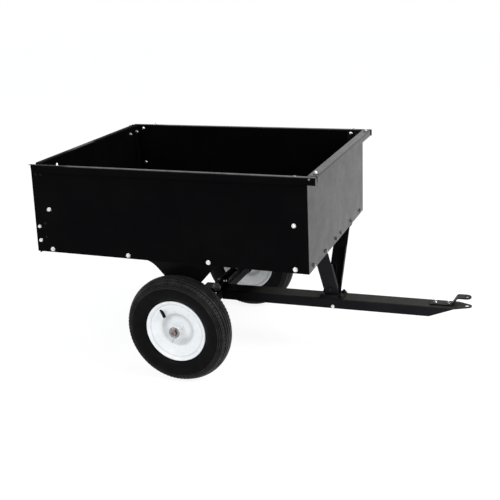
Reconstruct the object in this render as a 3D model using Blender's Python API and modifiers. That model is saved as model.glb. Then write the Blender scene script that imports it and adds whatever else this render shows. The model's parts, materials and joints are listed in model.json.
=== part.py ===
"""Tow cart: a steel dump bed on two pneumatic wheels, with a drawbar that ends in a pin hitch.

Metres, +X towards the hitch, +Y to the cart's left, +Z up.  The origin is on the ground
under the middle of the cart's outline.
"""
import math

import bmesh
import bpy
from mathutils import Matrix, Vector

# Clearances
GAP = 0.0003            # between pieces that touch
SLIDE = 0.0015          # tailgate to each guide
HOLE = 0.0005           # hole over its bolt, on the radius
AXLE_FIT = 0.0004       # bushes round the axle, on the radius

# Bed, measured over the faces of its panels
BED_LENGTH = 1.070
BED_WIDTH = 0.765
BED_HEIGHT = 0.337
BED_BOTTOM = 0.464
SHEET = 0.0020
BEND = 0.0035
SIDE_FLANGE = 0.018
SIDE_LIP = 0.026
SIDE_REAR_SLANT = 0.018 # a side wall's rear edge leans forward by this
SIDE_TOP_SHORT = 0.030  # top flange's rear end ahead of the wall's lower corner
FRONT_FLANGE = 0.0330
FRONT_LIP = 0.022
FRONT_END_SET = 0.006   # front flange's ends inside the wall's
CORNER_RETURN = 0.060
FLOOR_FLANGE = 0.031
FLOOR_REAR_LIP = 0.008
FLOOR_REAR_SET = 0.003

# Tailgate and the angles that guide it
TAILGATE_BEHIND = 0.4905
TAILGATE_RAIL = 0.0225
TAILGATE_LIP = 0.012
RAIL_END_SET = 0.022    # rail's ends inside the tailgate's
GUIDE_LEG = 0.030
FRONT_GUIDE_FOOT = 0.050
REAR_GUIDE_FOOT = 0.034

# Tyres
TYRE_RADIUS = 0.203
TYRE_WIDTH = 0.098
TYRE_TUCK = 0.0179      # middle of a tyre inside the bed's outer face
TREAD_GROOVE = 0.0035
TREAD_DROP = 0.0110      # crown to shoulder
TREAD_SHARE = 0.72       # tread's width over the tyre's
GROOVES_AT = (0.80, 0.38)
GROOVE_SHARE = 0.06
TYRE_WALL = 0.0060

# Rims, each pressed in two halves
RIM_LIP_RADIUS = 0.118
RIM_WIDTH = 0.0755
RIM_SHEET = 0.0022
RIM_LIP_ROLL = 0.0060
RIM_FACE_SET = 0.0095
BEAD_RADIUS = 0.1016
BEAD_FIT = 0.0006
DISH_RADIUS = 0.066
DISH_SET = 0.0220
DISH_FLOOR_RADIUS = 0.038
VALVE_RADIUS = 0.0055
VALVE_BASE_AT = 0.0982
VALVE_TIP_AT = 0.0640
VALVE_BEHIND_FACE = 0.0037

# Hubs
HUB_RADIUS = 0.0170
HUB_BORE = 0.0125
HUB_OUTWARD = 0.0429    # hub's ends from the tyre's middle
HUB_INWARD = 0.0596
HUB_BUSH_FLANGE = 0.0012
HUB_BUSH_RIM = 0.0155
HUB_BUSH_DEPTH = 0.022
WASHER_RADIUS = 0.0210
WASHER_THICK = 0.0022
TURN_STEPS = 28
SMALL_STEPS = 16

# Axle, and the channel that carries it
AXLE_AHEAD = 0.027      # axle ahead of the bed's middle
AXLE_RADIUS = 0.0095
AXLE_PAST_COTTER = 0.0066
AXLE_CHAMFER = 0.0015
COTTER_WIRE = 0.0016
COTTER_BELOW = 0.016
COTTER_EYE = 0.0042
CHANNEL_HALF = 0.033
CHANNEL_SHEET = 0.0030
CHANNEL_BELOW = 0.0155
CHANNEL_SHORT = 0.025   # channel's end to the wheel support's plate
SADDLE_INSET = 0.0150
SADDLE_THICK = 0.0080
SADDLE_CROWN = 0.0165

# Wheel supports, from the bed down to the axle
SUPPORT_TO_HUB = 0.0100 # middle of the support's plate to the hub
SUPPORT_THICK = 0.0040
SUPPORT_FLANGE = 0.042
SUPPORT_HALF_TOP = 0.173
SUPPORT_HEAD = 0.030
SUPPORT_ARC = 0.090
SUPPORT_SLOPE = 48.0    # degrees, where the sides run in below the arcs
SUPPORT_NECK = 0.045
SUPPORT_FOOT_RADIUS = 0.036
BUSH_RADIUS = 0.0145
BUSH_LENGTH = 0.024

# Drawbar: a channel open below, in a frame that tilts about the axle
TONGUE_RISE = math.radians(1.1)
TONGUE_HALF = 0.038
TONGUE_DEPTH = 0.038
TONGUE_SHEET = 0.0030
TONGUE_TOP = 0.0215     # above the axle's centre
TONGUE_REAR = 0.060
TONGUE_REACH = 1.001    # axle to the lower jaw's tip
FLANGE_TAPERS = 0.149   # where the flanges start to run out, behind the tip
FLANGE_ENDS = 0.060     # where they end, behind the tip
JAW_TIP_RADIUS = 0.017
HITCH_HOLE_RADIUS = 0.008

# Upper jaw; its places along the drawbar are measured back from the lower jaw's tip
STRAP_HALF = 0.019
STRAP_THICK = 0.0050
STRAP_BACK = 0.148
STRAP_RISES = 0.070
STRAP_LEVELS = 0.051
STRAP_BEND = 0.0040
STRAP_SHORT = 0.0020    # upper jaw's tip behind the lower one's
JAW_GAP = 0.031
HITCH_BOLTS_BACK = (0.131, 0.083)

# Clamp that holds the drawbar on the axle channel
CHEEK_THICK = 0.0040
CHEEK_HALF_BASE = 0.0290
CLAMP_AHEAD = 0.0142
CLAMP_ABOVE = 0.0350
CLAMP_EYE = 0.0170
CLAMP_BOLT_RADIUS = 0.0050
CLAMP_HEAD_THICK = 0.0040

# Front legs, from the bed down to the drawbar
LEG_AHEAD = 0.5085      # middle of the legs ahead of the bed's middle
LEG_WIDTH = 0.055
LEG_THICK = 0.0030
LEG_INNER = 0.0105
LEG_FOOT = 0.024
LEG_TOP_Y = 0.157
LEG_TOP_FOOT = 0.043
LEG_LIP = 0.014
LEG_LIP_END = 0.030     # lip's lower end from the leg's lower bend
LEG_LIP_START = 0.070   # lip's upper end from the leg's upper bend
LEG_BEND = 0.0050

# Latch
LATCH_PLATE_REAR = 0.435
LATCH_PLATE_FRONT = 0.529
LATCH_PLATE_THICK = 0.0040
LATCH_PLATE_BOLT_INSET = 0.0095
LATCH_PLATE_BOLT_Y = 0.0255
SLOT_REAR = 0.4530
SLOT_FRONT = 0.5100
SLOT_HALF = 0.0048
STRIKER_AHEAD = 0.4912
STRIKER_LEVEL = -0.0072
STRIKER_RADIUS = 0.0040
LATCH_PIVOT_AHEAD = 0.5100
LATCH_PIVOT_UP = 0.0720
LATCH_BOLT_RADIUS = 0.0040
LEVER_THICK = 0.0060
LEVER_ARM = 0.0105
LEVER_RISE = 0.0796     # pivot to the middle of the lever's eye
LEVER_EYE_BACK = 0.0013
LEVER_TOP_RADIUS = 0.0140
LEVER_HOLE_RADIUS = 0.0045
BEAK_REACH = 0.0060
BEAK_THICK = 0.0040
BEAK_CLEAR = 0.0010     # unlatched beak to the cross bolt
SPACER_RADIUS = 0.0080
SPRING_WIRE = 0.0009
SPRING_FIT = 0.0006
SPRING_TURNS = 3
SPRING_STEPS = 8

# Bolts
BOLT_RADIUS = 0.0040
HEAD_RADIUS = 0.0078
HEAD_HEIGHT = 0.0048
NUT_HEIGHT = 0.0060
BOLT_PROUD = 0.0030
BOLT_SIDES = 6

# Values that follow from the ones above
AXLE_Z = TYRE_RADIUS
BED_TOP = BED_BOTTOM + BED_HEIGHT
JAW_UNDERSIDE = TONGUE_TOP - TONGUE_SHEET
REAR_REACH = BED_LENGTH / 2
FRONT_REACH = (AXLE_AHEAD + TONGUE_REACH * math.cos(TONGUE_RISE)
               - JAW_UNDERSIDE * math.sin(TONGUE_RISE))
BED_X = (REAR_REACH - FRONT_REACH) / 2
AXLE_X = BED_X + AXLE_AHEAD
WHEEL_PLANE = BED_WIDTH / 2 - TYRE_TUCK
HUB_OUTER = WHEEL_PLANE + HUB_OUTWARD
HUB_INNER = WHEEL_PLANE - HUB_INWARD
SUPPORT_PLANE = HUB_INNER - SUPPORT_TO_HUB
CHANNEL_END = SUPPORT_PLANE - CHANNEL_SHORT
WALL_INSIDE = BED_WIDTH / 2 - SHEET
SECOND_LAYER = WALL_INSIDE - GAP - SHEET / 2
FLOOR_MIDDLE = BED_BOTTOM + SHEET / 2
FLOOR_TOP = BED_BOTTOM + SHEET
ABOVE_FLOOR_FLANGE = FLOOR_MIDDLE + FLOOR_FLANGE
GUIDE_TOP = BED_TOP - SHEET - SLIDE
TONGUE_BOTTOM = TONGUE_TOP - TONGUE_DEPTH
HITCH_X = TONGUE_REACH - JAW_TIP_RADIUS
FLANGE_FULL_TO = TONGUE_REACH - FLANGE_TAPERS
FLANGE_ENDS_AT = TONGUE_REACH - FLANGE_ENDS
STRAP_REAR = TONGUE_REACH - STRAP_BACK
STRAP_RISES_AT = TONGUE_REACH - STRAP_RISES
STRAP_LEVEL_AT = TONGUE_REACH - STRAP_LEVELS
LATCH_PLATE_TOP = TONGUE_TOP + GAP + LATCH_PLATE_THICK
LEG_FRONT = LEG_AHEAD - AXLE_AHEAD + LEG_WIDTH / 2
LEG_FOOT_MIDDLE = (AXLE_Z + LEG_FRONT * math.sin(TONGUE_RISE)
                   + LATCH_PLATE_TOP * math.cos(TONGUE_RISE) + GAP + LEG_THICK / 2)
LEG_TOP_MIDDLE = BED_BOTTOM - GAP - LEG_THICK / 2
LATCH_PIVOT_Z = AXLE_Z + LATCH_PIVOT_UP
COTTER_AT = HUB_OUTER + 2 * GAP + HUB_BUSH_FLANGE + WASHER_THICK + GAP + COTTER_WIRE
AXLE_END = COTTER_AT + AXLE_PAST_COTTER

COLORS = {
    "black_paint": ((0.012, 0.012, 0.014), 0.35, 0.0),
    "white_paint": ((0.82, 0.84, 0.86), 0.35, 0.0),
    "zinc": ((0.62, 0.63, 0.62), 0.35, 0.9),
    "rubber": ((0.018, 0.018, 0.019), 0.75, 0.0),
    "bronze": ((0.45, 0.30, 0.18), 0.45, 0.8),
    "steel": ((0.35, 0.33, 0.31), 0.45, 0.9),
}


# Scene, collections and materials

def clear_scene():
    for item in list(bpy.data.objects):
        bpy.data.objects.remove(item, do_unlink=True)


def make_collection(name):
    group = bpy.data.collections.new(name)
    bpy.context.scene.collection.children.link(group)
    return group


def make_material(name):
    color, roughness, metallic = COLORS[name]
    material = bpy.data.materials.new(name)
    material.use_nodes = True
    shader = material.node_tree.nodes["Principled BSDF"]
    shader.inputs["Base Color"].default_value = (*color, 1.0)
    shader.inputs["Roughness"].default_value = roughness
    shader.inputs["Metallic"].default_value = metallic
    return material


clear_scene()
CART = make_collection("tow_cart")
CUTTERS = make_collection("cutters")
MATERIALS = {name: make_material(name) for name in COLORS}


def make_empty(name, location, parent=None, rotation_y=0.0):
    empty = bpy.data.objects.new(name, None)
    empty.location = location
    empty.rotation_euler = (0.0, rotation_y, 0.0)
    empty.empty_display_size = 0.05
    empty.parent = parent
    CART.objects.link(empty)
    return empty


# The bed hangs from an empty on the axle; inside it, X is measured from the bed's middle
# and Z from the ground.  The drawbar's own frame starts at the axle's centre.
BED_HINGE = make_empty("bed_hinge", (AXLE_X, 0.0, AXLE_Z))
BED_FRAME = make_empty("bed_frame", (-AXLE_AHEAD, 0.0, -AXLE_Z), BED_HINGE)
LATCH_FRAME = make_empty("latch_pivot", (LATCH_PIVOT_AHEAD, 0.0, LATCH_PIVOT_Z), BED_FRAME)
DRAWBAR_FRAME = make_empty("drawbar_frame", (AXLE_X, 0.0, AXLE_Z), rotation_y=-TONGUE_RISE)


def add_object(name, bm, material, parent, location=(0.0, 0.0, 0.0), smooth=False):
    """Turn a bmesh into one named object of the cart."""
    bmesh.ops.recalc_face_normals(bm, faces=bm.faces)
    mesh = bpy.data.meshes.new(name)
    bm.to_mesh(mesh)
    bm.free()
    if smooth:
        mesh.shade_smooth()
        mesh.set_sharp_from_angle(angle=math.radians(35))
    thing = bpy.data.objects.new(name, mesh)
    thing.data.materials.append(MATERIALS[material])
    thing.location = location
    thing.parent = parent
    CART.objects.link(thing)
    return thing


# Conversions through Blender objects

def helper_object(name, data):
    """Object for a modifier or a curve to work on; it is never part of the cart."""
    holder = bpy.data.objects.new(name, data)
    CUTTERS.objects.link(holder)
    holder.hide_render = True
    holder.display_type = "WIRE"
    return holder


def mesh_from(bm):
    mesh = bpy.data.meshes.new("helper")
    bm.to_mesh(mesh)
    bm.free()
    return mesh


def take_result(holder):
    """Evaluate a helper object into a closed bmesh and remove the helper."""
    evaluated = holder.evaluated_get(bpy.context.evaluated_depsgraph_get())
    mesh = bpy.data.meshes.new_from_object(evaluated)
    bpy.data.objects.remove(holder)
    result = bmesh.new()
    result.from_mesh(mesh)
    bpy.data.meshes.remove(mesh)
    bmesh.ops.remove_doubles(result, verts=result.verts, dist=0.000005)
    bmesh.ops.recalc_face_normals(result, faces=result.faces)
    return result


# Outlines in a plane: lists of (u, v)

def arc(center, radius, start, end, steps):
    """Points on an arc, angles in degrees, both ends included."""
    points = []
    for step in range(steps + 1):
        angle = math.radians(start + (end - start) * step / steps)
        points.append((center[0] + radius * math.cos(angle), center[1] + radius * math.sin(angle)))
    return points


def circle(center, radius, sides=SMALL_STEPS):
    return arc(center, radius, 0.0, 360.0, sides)[:-1]


def rectangle(u0, v0, u1, v1):
    return [(u0, v0), (u1, v0), (u1, v1), (u0, v1)]


PLANES = {
    "XY": Matrix.Identity(4),
    "XZ": Matrix(((1, 0, 0, 0), (0, 0, -1, 0), (0, 1, 0, 0), (0, 0, 0, 1))),
    "YZ": Matrix(((0, 0, 1, 0), (1, 0, 0, 0), (0, 1, 0, 0), (0, 0, 0, 1))),
}


def prism(loops, thickness, plane, center=(0.0, 0.0, 0.0)):
    """Plate cut to an outline with holes, centred on its middle plane."""
    curve = bpy.data.curves.new("outline", "CURVE")
    curve.dimensions = "2D"
    curve.fill_mode = "BOTH"
    curve.extrude = thickness / 2
    for loop in loops:
        spline = curve.splines.new("POLY")
        spline.points.add(len(loop) - 1)
        for point, (u, v) in zip(spline.points, loop):
            point.co = (u, v, 0.0, 1.0)
        spline.use_cyclic_u = True
    bm = take_result(helper_object("outline", curve))
    bm.transform(Matrix.Translation(center) @ PLANES[plane])
    return bm


# Sheet metal: a strip folded along a path, then given its thickness

def round_folds(bm, radius):
    """Give every fold its bend radius."""
    bmesh.ops.recalc_face_normals(bm, faces=bm.faces)
    folds = []
    for edge in bm.edges:
        if len(edge.link_faces) == 2 and edge.calc_face_angle() > math.radians(20):
            folds.append(edge)
    bmesh.ops.bevel(bm, geom=folds, offset=radius, offset_type="OFFSET", segments=2,
                    profile=0.5, affect="EDGES", clamp_overlap=True)


def thicken(bm, thickness):
    """Solidify the middle surface of a sheet."""
    holder = helper_object("sheet", mesh_from(bm))
    shell = holder.modifiers.new("thickness", "SOLIDIFY")
    shell.thickness = thickness
    shell.offset = 0.0
    shell.use_even_offset = True
    return take_result(holder)


def folded_strip(path, thickness, length, plane, center, bend):
    """Strip bent along a path and as long as asked across it."""
    bm = bmesh.new()
    line = [bm.verts.new((u, v, -length / 2)) for u, v in path]
    for first, second in zip(line, line[1:]):
        bm.edges.new((first, second))
    result = bmesh.ops.extrude_edge_only(bm, edges=bm.edges[:])
    moved = [item for item in result["geom"] if isinstance(item, bmesh.types.BMVert)]
    bmesh.ops.translate(bm, verts=moved, vec=(0.0, 0.0, length))
    round_folds(bm, bend)
    bm.transform(Matrix.Translation(center) @ PLANES[plane])
    return thicken(bm, thickness)


# Solids and Booleans

def combine(bm, other, operation):
    """Boolean of two closed bmeshes."""
    base = helper_object("base", mesh_from(bm))
    tool = helper_object("tool", mesh_from(other))
    modifier = base.modifiers.new("boolean", "BOOLEAN")
    modifier.operation = operation
    modifier.object = tool
    modifier.solver = "EXACT"
    result = take_result(base)
    bpy.data.objects.remove(tool)
    return result


def turned_rod(stations, direction, location, sides):
    """Solid rod along a direction: stations are (distance, radius)."""
    bm = bmesh.new()
    rows = []
    for distance, radius in stations:
        rows.append([bm.verts.new((u, v, distance)) for u, v in circle((0, 0), radius, sides)])
    for lower, upper in zip(rows, rows[1:]):
        for index in range(sides):
            after = (index + 1) % sides
            bm.faces.new((lower[index], lower[after], upper[after], upper[index]))
    bm.faces.new(rows[0])
    bm.faces.new(rows[-1])
    facing = Vector((0.0, 0.0, 1.0)).rotation_difference(Vector(direction))
    bm.transform(Matrix.Translation(location) @ facing.to_matrix().to_4x4())
    bmesh.ops.recalc_face_normals(bm, faces=bm.faces)
    return bm


def cylinder(radius, start, end, direction=(0, 1, 0), location=(0, 0, 0), sides=SMALL_STEPS):
    return turned_rod([(start, radius), (end, radius)], direction, location, sides)


def turned(profile, location=(0, 0, 0), steps=TURN_STEPS):
    """Closed profile of (radius, y) turned about the Y direction."""
    mesh = bpy.data.meshes.new("profile")
    loop = [(index, (index + 1) % len(profile)) for index in range(len(profile))]
    mesh.from_pydata([(radius, y, 0.0) for radius, y in profile], loop, [])
    holder = helper_object("profile", mesh)
    screw = holder.modifiers.new("turn", "SCREW")
    screw.axis = "Y"
    screw.steps = steps
    screw.render_steps = steps
    screw.use_merge_vertices = True
    screw.merge_threshold = 0.00001
    bm = take_result(holder)
    bm.transform(Matrix.Translation(location))
    return bm


def tube(outer, inner, start, end, location=(0, 0, 0), steps=SMALL_STEPS):
    low, high = sorted((start, end))
    return turned([(outer, low), (outer, high), (inner, high), (inner, low)], location, steps)


def box(low, high):
    bm = bmesh.new()
    bmesh.ops.create_cube(bm, size=1.0)
    for vert in bm.verts:
        for axis in range(3):
            vert.co[axis] = high[axis] if vert.co[axis] > 0 else low[axis]
    return bm


# Bolts through flat plates: the head sits on one side of the grip, the nut on the other

def bolt(seat, grip, head_up=True):
    turn = 1 if head_up else -1
    head = GAP
    nut = -grip - GAP
    stations = [
        (nut - NUT_HEIGHT - BOLT_PROUD, BOLT_RADIUS),
        (nut - NUT_HEIGHT, BOLT_RADIUS),
        (nut - NUT_HEIGHT, HEAD_RADIUS),
        (nut, HEAD_RADIUS),
        (nut, BOLT_RADIUS),
        (head, BOLT_RADIUS),
        (head, HEAD_RADIUS),
        (head + HEAD_HEIGHT / 2, HEAD_RADIUS),
        (head + HEAD_HEIGHT, HEAD_RADIUS / 2),
    ]
    stations = [(turn * distance, radius) for distance, radius in stations]
    return turned_rod(stations, (0, 0, 1), seat, BOLT_SIDES)


def drill(bm, seats, grip):
    """Cut the bolts' holes through a sheet."""
    for seat in seats:
        hole = cylinder(BOLT_RADIUS + HOLE, -2 * grip, 2 * grip, (0, 0, 1), seat, BOLT_SIDES)
        bm = combine(bm, hole, "DIFFERENCE")
    return bm


def cross_bolt(center, shank, face, head_radius, head_thick, nut_radius, sides=12):
    """Bolt along Y: head on the right, nut on the left, faces at the same distance."""
    stations = [
        (-face - head_thick, head_radius * 0.88),
        (-face - head_thick * 0.6, head_radius),
        (-face, head_radius),
        (-face, shank),
        (face, shank),
        (face, nut_radius),
        (face + NUT_HEIGHT, nut_radius),
        (face + NUT_HEIGHT, shank),
        (face + NUT_HEIGHT + BOLT_PROUD, shank),
    ]
    return turned_rod(stations, (0, 1, 0), center, sides)


# Bed

def behind_slant(ahead):
    """Block behind a line parallel to the side walls' slanted rear edge."""
    corner = ahead - BED_LENGTH / 2
    steep = SIDE_REAR_SLANT / BED_HEIGHT
    low = BED_BOTTOM - BED_HEIGHT / 4
    high = BED_TOP - SHEET - BEND
    behind = -BED_LENGTH
    outline = [(behind, low), (corner + steep * (low - BED_BOTTOM), low),
               (corner + steep * (high - BED_BOTTOM), high), (behind, high)]
    return prism([outline], 2 * BED_WIDTH, "XZ")


def side_panel(side):
    """Side wall with a slanted rear edge, a top flange folded outward, and a lip down."""
    half = BED_LENGTH / 2
    plane = side * (BED_WIDTH / 2 - SHEET / 2)
    top = BED_TOP - SHEET / 2
    lip = plane + side * SIDE_FLANGE
    path = [(plane, BED_BOTTOM), (plane, top), (lip, top), (lip, BED_TOP - SIDE_LIP)]
    length = BED_LENGTH + FRONT_FLANGE
    bm = folded_strip(path, SHEET, length, "YZ", (FRONT_FLANGE / 2, 0.0, 0.0), BEND)
    inner, outer = plane - side * SHEET, plane + side * SHEET
    low = BED_BOTTOM - SHEET
    under = BED_TOP - SHEET - BEND
    walls = sorted((inner, outer))
    past = box((half, walls[0], low), (half + 2 * FRONT_FLANGE, walls[1], under))
    bm = combine(bm, past, "DIFFERENCE")
    bm = combine(bm, behind_slant(0.0), "DIFFERENCE")
    beyond = sorted((outer, lip + side * 2 * SHEET))
    rear = SIDE_TOP_SHORT - half
    flange = box((-BED_LENGTH, beyond[0], low), (rear, beyond[1], BED_TOP + SHEET))
    bm = combine(bm, flange, "DIFFERENCE")
    ends = sorted((inner, outer + side * SHEET))
    fold = box((-BED_LENGTH, ends[0], under - SHEET), (SIDE_REAR_SLANT - half, ends[1], BED_TOP + SHEET))
    return combine(bm, fold, "DIFFERENCE")


def floor_pan():
    """Floor with flanges up inside the walls and a short lip down at the tailgate."""
    half = BED_LENGTH / 2
    front = half - SHEET - GAP
    rear = FLOOR_REAR_SET - half
    up = FLOOR_MIDDLE + FLOOR_FLANGE
    path = [(-SECOND_LAYER, up), (-SECOND_LAYER, FLOOR_MIDDLE), (SECOND_LAYER, FLOOR_MIDDLE),
            (SECOND_LAYER, up)]
    bm = folded_strip(path, SHEET, front - rear, "YZ", ((front + rear) / 2, 0.0, 0.0), BEND)
    flange = box((front - SHEET, -SECOND_LAYER, FLOOR_MIDDLE), (front, SECOND_LAYER, up))
    inside = SECOND_LAYER - BEND
    lip = box((rear, -inside, BED_BOTTOM - FLOOR_REAR_LIP), (rear + SHEET, inside, FLOOR_MIDDLE))
    return combine(combine(bm, flange, "UNION"), lip, "UNION")


def front_panel():
    """Front wall with a top flange forward, and side returns above the floor's flanges."""
    x = BED_LENGTH / 2 - SHEET / 2
    top = BED_TOP - SHEET / 2
    lip = x + FRONT_FLANGE
    half = WALL_INSIDE - GAP
    path = [(x, BED_BOTTOM), (x, top), (lip, top), (lip, BED_TOP - FRONT_LIP)]
    bm = folded_strip(path, SHEET, 2 * half, "XZ", (0.0, 0.0, 0.0), BEND)
    for side in (-1, 1):
        ends = sorted((side * (half - SHEET), side * half))
        piece = box((x - SHEET / 2 - CORNER_RETURN, ends[0], ABOVE_FLOOR_FLANGE + GAP),
                    (x, ends[1], BED_TOP - SHEET - BEND))
        bm = combine(bm, piece, "UNION")
        beyond = sorted((side * (half - FRONT_END_SET), side * (half + SHEET)))
        corner = box((x + BEND, beyond[0], BED_BOTTOM), (lip + SHEET, beyond[1], BED_TOP + SHEET))
        bm = combine(bm, corner, "DIFFERENCE")
    return bm


def tailgate():
    """Rear wall that lifts out: a plate with a rail folded to the rear along its top."""
    x = -TAILGATE_BEHIND
    top = BED_TOP - SHEET / 2
    rail = x - TAILGATE_RAIL
    low = FLOOR_TOP + GAP
    half = SECOND_LAYER - SHEET / 2 - SLIDE
    path = [(x, low), (x, top), (rail, top), (rail, BED_TOP - TAILGATE_LIP)]
    bm = folded_strip(path, SHEET, 2 * half, "XZ", (0.0, 0.0, 0.0), BEND)
    for side in (-1, 1):
        ends = sorted((side * (half - BEND), side * (half + BEND)))
        notch = box((x - SHEET, ends[0], low - SHEET), (x + SHEET, ends[1], low + BEND))
        bm = combine(bm, notch, "DIFFERENCE")
        beyond = sorted((side * (half - RAIL_END_SET), side * (half + BEND)))
        corner = box((rail - SHEET, beyond[0], low), (x - BEND, beyond[1], BED_TOP + SHEET))
        bm = combine(bm, corner, "DIFFERENCE")
    return bm


def guide(side, forward):
    """Angle that the tailgate slides against: a foot on the side wall and a leg across."""
    face = SHEET + SLIDE
    leg_x = -TAILGATE_BEHIND + forward * face
    foot = FRONT_GUIDE_FOOT if forward > 0 else REAR_GUIDE_FOOT
    path = [
        (leg_x + forward * foot, side * SECOND_LAYER),
        (leg_x, side * SECOND_LAYER),
        (leg_x, side * (SECOND_LAYER - GUIDE_LEG)),
    ]
    low = ABOVE_FLOOR_FLANGE + GAP
    height = GUIDE_TOP - low
    bm = folded_strip(path, SHEET, height, "XY", (0.0, 0.0, low + height / 2), SHEET)
    if forward > 0:
        return bm
    return combine(bm, behind_slant(BED_LENGTH / 2 - TAILGATE_BEHIND - face - foot), "DIFFERENCE")


def build_bed():
    add_object("bed_floor", floor_pan(), "black_paint", BED_FRAME)
    add_object("front_panel", front_panel(), "black_paint", BED_FRAME)
    add_object("tailgate", tailgate(), "black_paint", BED_FRAME)
    for side, word in ((-1, "right"), (1, "left")):
        add_object("side_panel_" + word, side_panel(side), "black_paint", BED_FRAME)
        add_object("guide_front_" + word, guide(side, 1), "black_paint", BED_FRAME)
        add_object("guide_rear_" + word, guide(side, -1), "black_paint", BED_FRAME)


# Wheel supports

def support_side():
    """Left side of a wheel support's outline, from its head down to the foot's circle."""
    top = BED_BOTTOM - GAP - AXLE_Z
    shoulder = top - SUPPORT_HEAD
    slope = math.radians(SUPPORT_SLOPE)
    points = [(-SUPPORT_HALF_TOP, top + SUPPORT_THICK)]
    points += arc((-SUPPORT_HALF_TOP, shoulder - SUPPORT_ARC), SUPPORT_ARC, 90.0,
                  90.0 - SUPPORT_SLOPE, 6)
    last_x, last_z = points[-1]
    points.append((-SUPPORT_NECK, last_z + (last_x + SUPPORT_NECK) * math.tan(slope)))
    return points


def wheel_support(side):
    """Folded plate with run-in sides that hangs under the floor and turns on the axle."""
    left = support_side()
    outline = left + arc((0.0, 0.0), SUPPORT_FOOT_RADIUS, 190.0, 350.0, 8)
    outline += [(-x, z) for x, z in reversed(left)]
    bore = circle((0.0, 0.0), BUSH_RADIUS + GAP)
    plane = side * SUPPORT_PLANE
    ledge = BED_BOTTOM - GAP - AXLE_Z - SUPPORT_THICK / 2
    path = [
        (plane - side * SUPPORT_FLANGE, ledge),
        (plane, ledge),
        (plane, -2 * SUPPORT_FOOT_RADIUS),
    ]
    center = (AXLE_AHEAD, 0.0, AXLE_Z)
    length = 2 * SUPPORT_HALF_TOP + SUPPORT_THICK
    plate = folded_strip(path, SUPPORT_THICK, length, "YZ", center, BEND)
    cutter = prism([outline, bore], 4 * SUPPORT_FLANGE, "XZ", (AXLE_AHEAD, plane, AXLE_Z))
    return combine(plate, cutter, "INTERSECT")


def support_bush(side):
    """Plain bush from inside the support to the wheel's inner washer."""
    outer = HUB_INNER - 2 * GAP - HUB_BUSH_FLANGE - WASHER_THICK - GAP
    return tube(BUSH_RADIUS, AXLE_RADIUS + AXLE_FIT, side * (outer - BUSH_LENGTH), side * outer)


def build_supports():
    for side, word in ((-1, "right"), (1, "left")):
        add_object("wheel_support_" + word, wheel_support(side), "black_paint", BED_FRAME)
        add_object("support_bush_" + word, support_bush(side), "bronze", BED_HINGE, smooth=True)


# Drawbar frame: positions are measured from the axle's centre

def hitch_seats():
    """Under the drawbar's top, where the heads of the upper jaw's bolts sit."""
    return [(TONGUE_REACH - back, 0.0, JAW_UNDERSIDE) for back in HITCH_BOLTS_BACK]


def latch_plate_seats():
    inset = LATCH_PLATE_BOLT_INSET
    seats = []
    for x in (LATCH_PLATE_REAR + inset, LATCH_PLATE_FRONT - inset):
        for y in (-LATCH_PLATE_BOLT_Y, LATCH_PLATE_BOLT_Y):
            seats.append((x, y, LATCH_PLATE_TOP))
    return seats


HITCH_GRIP = STRAP_THICK + GAP + TONGUE_SHEET
LATCH_GRIP = LATCH_PLATE_THICK + GAP + TONGUE_SHEET


def tongue():
    """Channel open below, tapered at the front into the lower jaw."""
    middle = TONGUE_HALF - TONGUE_SHEET / 2
    top = TONGUE_TOP - TONGUE_SHEET / 2
    path = [(-middle, TONGUE_BOTTOM), (-middle, top), (middle, top), (middle, TONGUE_BOTTOM)]
    length = TONGUE_REACH + TONGUE_REAR
    center = ((TONGUE_REACH - TONGUE_REAR) / 2, 0.0, 0.0)
    bm = folded_strip(path, TONGUE_SHEET, length, "YZ", center, BEND)
    bm = combine(bm, jaw_plan(), "INTERSECT")
    bm = combine(bm, flange_taper(), "DIFFERENCE")
    notch = CHANNEL_HALF + GAP
    side = TONGUE_HALF + GAP
    low = TONGUE_BOTTOM - GAP
    bm = combine(bm, box((-notch, -side, low), (notch, side, JAW_UNDERSIDE)), "DIFFERENCE")
    slot = box((SLOT_REAR, -SLOT_HALF, JAW_UNDERSIDE - GAP), (SLOT_FRONT, SLOT_HALF, LATCH_PLATE_TOP))
    bm = combine(bm, slot, "DIFFERENCE")
    striker = cylinder(STRIKER_RADIUS + HOLE, -2 * TONGUE_HALF, 2 * TONGUE_HALF,
                       location=(STRIKER_AHEAD, 0.0, STRIKER_LEVEL), sides=12)
    bm = combine(bm, striker, "DIFFERENCE")
    bm = drill(bm, hitch_seats(), HITCH_GRIP)
    return drill(bm, latch_plate_seats(), LATCH_GRIP)


def jaw_plan():
    """Outline of the drawbar from above, with the lower jaw's round tip and hole."""
    wide = 2 * TONGUE_HALF
    rear = -TONGUE_REAR - TONGUE_SHEET
    plan = [(rear, -wide), (FLANGE_ENDS_AT, -wide), (FLANGE_ENDS_AT, -TONGUE_HALF)]
    plan += arc((TONGUE_REACH - JAW_TIP_RADIUS, 0.0), JAW_TIP_RADIUS, -64.0, 64.0, 10)
    plan += [(FLANGE_ENDS_AT, TONGUE_HALF), (FLANGE_ENDS_AT, wide), (rear, wide)]
    return prism([plan, circle((HITCH_X, 0.0), HITCH_HOLE_RADIUS)], 4 * TONGUE_DEPTH, "XY")


def flange_taper():
    """What the flanges lose as they run out towards the jaw."""
    below = TONGUE_BOTTOM - TONGUE_SHEET
    past = TONGUE_REACH + TONGUE_SHEET
    outline = [(FLANGE_FULL_TO, below), (past, below), (past, JAW_UNDERSIDE),
               (FLANGE_ENDS_AT, JAW_UNDERSIDE), (FLANGE_FULL_TO, TONGUE_BOTTOM)]
    return prism([outline], 4 * TONGUE_HALF, "XZ")


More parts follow.
